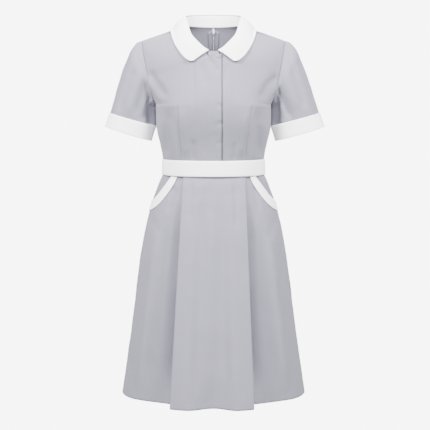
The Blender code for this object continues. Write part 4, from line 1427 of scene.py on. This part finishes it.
class SewCollar(bpy.types.Operator):
    """The round collar's two leaves, its stands and the neck band between its ends"""

    bl_idname = "dress.sew_collar"
    bl_label = "Sew collar"

    def execute(self, context):
        tree = surface_tree([drawn[name] for name in drawn if name.startswith("bodice")])
        for name, side in SIDES.items():
            leaf = collar_leaf(side, tree)
            sew(f"collar_{name}", leaf, FOLDED, "white_cloth", square={"last": X_AXIS})
            sew(f"collar_stand_{name}", collar_stand(side), CLOTH, "white_cloth", square={"last": X_AXIS})
        sew("neck_band", neck_band_grid(), CLOTH, "grey_cloth")
        return {"FINISHED"}


class SewSleeves(bpy.types.Operator):
    """Both sleeves and their turned-up cuffs"""

    bl_idname = "dress.sew_sleeves"
    bl_label = "Sew sleeves"

    def execute(self, context):
        sizes = context.scene.dress_sizes
        for name, side in SIDES.items():
            relief = Relief(SLEEVE_CREASES[side], sizes.crease_strength, ARM_CHART)

            def height(p, i, j):
                angle = 360 * j / SLEEVE_TURNS
                away = smoothstep(abs(angle - 180) / SEAM_ANGLE) * smoothstep(i / SLEEVE_EASE_ROWS)
                return (relief.at(angle * ARM_CHART, -p.z) + drift(p, *SLEEVE_DRIFT)) * away

            grid = pressed(sleeve_grid(SLEEVE, side, 1, SLEEVE_ROWS), height, ("first",), closed=True)
            sew(f"sleeve_{name}", grid, sizes.cloth, "grey_cloth", closed=True)
            cuff = sleeve_grid(CUFF, side, 0, CUFF_ROWS)
            cuff = pressed(cuff, lambda p, i, j: drift(p, *CUFF_DRIFT), closed=True)
            sew(f"cuff_{name}", cuff, FOLDED, "white_cloth", closed=True)
        return {"FINISHED"}


class SewWaistband(bpy.types.Operator):
    """The white waistband, open at the zip"""

    bl_idname = "dress.sew_waistband"
    bl_label = "Sew waistband"

    def execute(self, context):
        square = {"inner": X_AXIS, "outer": X_AXIS}
        grid = pressed(waistband_grid(), flat_drift, ("first", "last"), square=square)
        sew("waistband", grid, DOUBLED, "white_cloth", square=square)
        return {"FINISHED"}


class SewSkirt(bpy.types.Operator):
    """The skirt's front with its box pleat, and its two backs"""

    bl_idname = "dress.sew_skirt"
    bl_label = "Sew skirt"

    def execute(self, context):
        sizes = context.scene.dress_sizes
        drops = skirt_drops()
        relief = Relief(SKIRT_CREASES + [HEM_MARK], sizes.crease_strength)
        hollows = Relief(PLEAT_HOLLOWS, sizes.crease_strength)
        grid = [front_half(RIGHT, drop)[:0:-1] + front_half(LEFT, drop) for drop in drops]
        middle = len(grid[0]) // 2
        turn_first, turn_last = LOBE_COLUMNS, LOBE_COLUMNS + 2 * TURN_STEPS + 1

        def front_height(p, i, j):
            place = abs(j - middle)
            if turn_first <= place <= turn_last:
                return 0.0
            away = turn_first - place if place < turn_first else place - turn_last
            hollow = hollows.at(p.x, -p.z) if place > turn_last else 0.0
            raised = relief.at(p.x, -p.z) + hollow + drift(Vector((p.x, 2, p.z)))
            return raised * smoothstep(away / PLEAT_EASE_COLUMNS)

        square = {"inner": Y_AXIS, "outer": Y_AXIS}
        front = pressed(grid, front_height, ("inner", "outer"), square=square)
        hem = [("last", HEM_STITCH)]
        sew("skirt_front", front, sizes.cloth, "grey_cloth", square=square, turned=hem)
        for name, side in SIDES.items():
            shift = SKIRT_BACK_RIGHT_SHIFT if side == RIGHT else 0
            moved = [
                crease._replace(points=[(x + shift, drop) for x, drop in crease.points])
                for crease in SKIRT_BACK_CREASES
            ]
            back = Relief([*moved, HEM_MARK], sizes.crease_strength)

            def back_height(p, i, j):
                return back.at(abs(p.x), -p.z) + drift(Vector((p.x, 9, p.z)))

            square = {"inner": X_AXIS, "outer": Y_AXIS}
            panel = pressed(skirt_back_grid(side, drops), back_height, ("inner", "outer"), square=square)
            sew(f"skirt_back_{name}", panel, sizes.cloth, "grey_cloth", square=square, turned=hem)
        return {"FINISHED"}


class SewPockets(bpy.types.Operator):
    """The hip panels behind the pocket mouths, and the white bands along them"""

    bl_idname = "dress.sew_pockets"
    bl_label = "Sew pockets"

    def execute(self, context):
        sizes = context.scene.dress_sizes
        for name, side in SIDES.items():
            hip = pressed(hip_grid(side), flat_drift, ("outer",), square={"outer": Y_AXIS})
            sew(f"hip_panel_{name}", hip, sizes.cloth, "grey_cloth", square={"outer": Y_AXIS})
            band = pocket_band_grid(side)
            sew(f"pocket_band_{name}", band, POCKET_BAND, "white_cloth", square={"last": Y_AXIS})
        return {"FINISHED"}


def back_inside(depth):
    """The inner edges of the backs, from the neck to the end of the zip, moved inwards by a depth."""
    lines = {}
    for name, side in SIDES.items():
        rows = [
            row for row in reversed(drawn[f"bodice_back_{name}"])
            if abs(row[0].x) <= BACK_OPENING + ZIP_EDGE and -row[0].z > ZIP_TOP
        ]
        rows += [row for row in drawn[f"skirt_back_{name}"] if BODICE_END + ZIP_STEP < -row[0].z < ZIP_FOOT]
        strip = []
        for row in rows:
            line = [Vector((side * BACK_OPENING, row[0].y, row[0].z))]
            for reach in [TAPE_WIDTH * t for t in steps(4)[1:]]:
                near = next(n for n in range(1, len(row)) if abs(row[n].x) >= reach)
                t = (reach - abs(row[near - 1].x)) / (abs(row[near].x) - abs(row[near - 1].x))
                line.append(row[near - 1].lerp(row[near], min(max(t, 0), 1)))
            strip.append(line)
        lines[side] = moved_out(strip, -depth, square={"inner": X_AXIS})
    return lines


class SewZip(bpy.types.Operator):
    """The zip in the centre back: its tapes, its coil, its slider and its pull"""

    bl_idname = "dress.sew_zip"
    bl_label = "Sew zip"

    def execute(self, context):
        tapes = back_inside(CLOTH + TAPE_ROOM)
        for name, side in SIDES.items():
            sew(f"zip_tape_{name}", tapes[side], TAPE, "grey_cloth", square={"inner": X_AXIS})
        under = back_inside(CLOTH + TAPE_ROOM + TAPE + COIL_ROOM)[LEFT]
        path = [Vector((0, row[0].y, row[0].z)) for row in under if -row[0].z > COIL_TOP]
        coil = repeated(
            "zip_coil", [path], repeat_group("Zip coil", "loop"), material_of("grey_thread"),
            Pitch=COIL_PITCH, Length=COIL_SIZE, Width=COIL_SIZE, Unevenness=0.0, Seed=1,
        )
        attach(coil, "dress")
        for name in ("zip_slider", "zip_pull"):
            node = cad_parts[name]
            node.data.materials.clear()
            node.data.materials.append(material_of("white_enamel"))
        return {"FINISHED"}


def row_line(grid, index):
    """One row of a grid, raised a little off the cloth."""
    raised = moved_out(grid[max(index - 1, 0): index + 2], STITCH_LIFT)
    return raised[min(index, 1)]


class StitchSeams(bpy.types.Operator):
    """The rows of stitches that show: the hem's, the cuffs' and the pocket bands'"""

    bl_idname = "dress.stitch_seams"
    bl_label = "Stitch seams"

    def execute(self, context):
        sizes = context.scene.dress_sizes
        group = repeat_group("Stitch row", "stitch")
        grey, white = [], []
        for name in ("skirt_front", "skirt_back_right", "skirt_back_left"):
            grid = drawn[name]
            index = min(range(len(grid)), key=lambda i: abs(-grid[i][0].z - HEM_ROW))
            grey.append(row_line(grid, index))
        for name in SIDES:
            band = drawn[f"pocket_band_{name}"]
            raised = moved_out(band, BAND_STITCH_LIFT)
            for column in (1, len(band[0]) - 2):
                white.append([row[column] for row in raised[1:-1]])
            cuff = drawn[f"cuff_{name}"]
            line = row_line(cuff, 1)
            white.append(line + [line[0]])
        for label, paths, thread in (("grey", grey, "grey_thread"), ("white", white, "white_thread")):
            row = repeated(
                f"stitches_{label}", paths, group, material_of(thread), Pitch=sizes.stitch_pitch,
                Length=sizes.stitch_length, Width=sizes.thread_width, Unevenness=0.08, Seed=5,
            )
            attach(row, "dress")
        return {"FINISHED"}


class SetStage(bpy.types.Operator):
    """A plain pale floor that sweeps up all round, soft studio light and the camera"""

    bl_idname = "dress.set_stage"
    bl_label = "Set stage"

    def execute(self, context):
        colours = context.scene.dress_colours
        profile = [(FLOOR_FLAT, FLOOR_DROP)]
        for angle in [math.radians(6 * n) for n in range(1, 16)]:
            across, up = math.sin(angle), 1 - math.cos(angle)
            profile.append((FLOOR_FLAT + FLOOR_SWEEP * across, FLOOR_DROP + FLOOR_SWEEP * up))
        profile.append((FLOOR_FLAT + FLOOR_SWEEP, FLOOR_TOP))
        angles = [math.tau * n / FLOOR_TURNS for n in range(FLOOR_TURNS)]
        rings = [(r * math.cos(a), r * math.sin(a), z) for r, z in profile for a in angles]
        points = [(0, 0, FLOOR_DROP), *rings]
        faces = []
        for n in range(FLOOR_TURNS):
            m = (n + 1) % FLOOR_TURNS
            faces.append((0, 1 + n, 1 + m))
            for base in range(1, 1 + FLOOR_TURNS * (len(profile) - 1), FLOOR_TURNS):
                faces.append((base + n, base + FLOOR_TURNS + n, base + FLOOR_TURNS + m, base + m))
        data = bpy.data.meshes.new("studio_floor")
        data.from_pydata(points, [], faces)
        data.shade_smooth()
        floor = linked("studio_floor", data)
        material, tree, shader = new_material(
            "studio_paper", Base_Color=(*colours.floor, 1), Roughness=0.9, Specular_IOR_Level=0.0,
            Emission_Color=(1, 1, 1, 1),
        )
        seen = tree.add("ShaderNodeLightPath").outputs["Is Camera Ray"]
        glow = tree.maths("MULTIPLY_ADD", seen, FLOOR_GLOW - FLOOR_BOUNCE, FLOOR_BOUNCE)
        tree.give(shader.inputs["Emission Strength"], glow)
        data.materials.append(material)

        world = bpy.data.worlds.new("studio_air")
        world.use_nodes = True
        world.node_tree.nodes["Background"].inputs["Color"].default_value = (1, 1, 1, 1)
        world.node_tree.nodes["Background"].inputs["Strength"].default_value = AIR_LIGHT
        context.scene.world = world
        for name, place, size, power in LIGHTS:
            lamp = bpy.data.lights.new(name, "AREA")
            lamp.shape = "DISK"
            lamp.size = size
            lamp.energy = power
            light = linked(name, lamp)
            light.location = place
            light.rotation_mode = "QUATERNION"
            light.rotation_quaternion = (Vector((0, 0, LIGHT_AIM)) - Vector(place)).to_track_quat("-Z", "Y")
        lens = bpy.data.cameras.new("camera")
        lens.lens = CAMERA_LENS
        lens.sensor_width = 36.0
        camera = linked("camera", lens)
        pitch = math.radians(CAMERA_PITCH)
        away = Vector((0, -math.cos(pitch), math.sin(pitch)))
        camera.location = Vector(CAMERA_AIM) + CAMERA_DISTANCE * away
        camera.rotation_euler = (math.radians(90) - pitch, 0, 0)
        context.scene.camera = camera
        return {"FINISHED"}


def length_property(name, description, default):
    return FloatProperty(name=name, description=description, default=default, unit="LENGTH")


def colour_property(name, description, default):
    return FloatVectorProperty(name=name, description=description, default=default, subtype="COLOR")


class DressSizes(bpy.types.PropertyGroup):
    cloth: length_property("Cloth", "Thickness of a single layer of cloth", 0.0008)
    crease_strength: FloatProperty(
        name="Creases", description="How deeply the creases are pressed in", default=2.3, subtype="FACTOR"
    )
    thread_pitch: length_property("Thread pitch", "Distance between neighbouring threads", 0.00055)
    stitch_pitch: length_property("Stitch pitch", "Distance from one stitch to the next", 0.0030)
    stitch_length: length_property("Stitch length", "Length of one stitch", 0.0023)
    thread_width: length_property("Thread width", "Width of the sewing thread", 0.00042)


class DressColours(bpy.types.PropertyGroup):
    grey: colour_property("Grey cloth", "Colour of the panels", (0.184, 0.178, 0.221))
    white: colour_property("White cloth", "Colour of the collar, cuffs and bands", (0.88, 0.88, 0.90))
    enamel: colour_property("Enamel", "Colour of the zip's slider and pull", (0.86, 0.86, 0.86))
    floor: colour_property("Floor", "Colour of the studio floor", (0.5, 0.5, 0.5))


STEPS = (
    SewBodice, SewCollar, SewSleeves, SewWaistband, SewSkirt, SewPockets, SewZip, PressSeams,
    StitchSeams, SetStage,
)


class DressPanel(bpy.types.Panel):
    """The dress's sizes and colours, and a button for each group of pieces"""

    bl_idname = "DRESS_PT_panel"
    bl_label = "Uniform dress"
    bl_space_type = "VIEW_3D"
    bl_region_type = "UI"
    bl_category = "Dress"

    def draw(self, context):
        for group in (context.scene.dress_sizes, context.scene.dress_colours):
            box = self.layout.box()
            for name in group.__annotations__:
                box.prop(group, name)
        for step in STEPS:
            self.layout.operator(step.bl_idname)


CLASSES = (DressSizes, DressColours, *STEPS, DressPanel)


def register():
    for item in CLASSES:
        bpy.utils.register_class(item)
    bpy.types.Scene.dress_sizes = PointerProperty(type=DressSizes)
    bpy.types.Scene.dress_colours = PointerProperty(type=DressColours)


def unregister():
    del bpy.types.Scene.dress_colours
    del bpy.types.Scene.dress_sizes
    for item in reversed(CLASSES):
        bpy.utils.unregister_class(item)


def main():
    register()
    for step in STEPS:
        group, name = step.bl_idname.split(".")
        getattr(getattr(bpy.ops, group), name)()


if __name__ == "__main__":
    main()
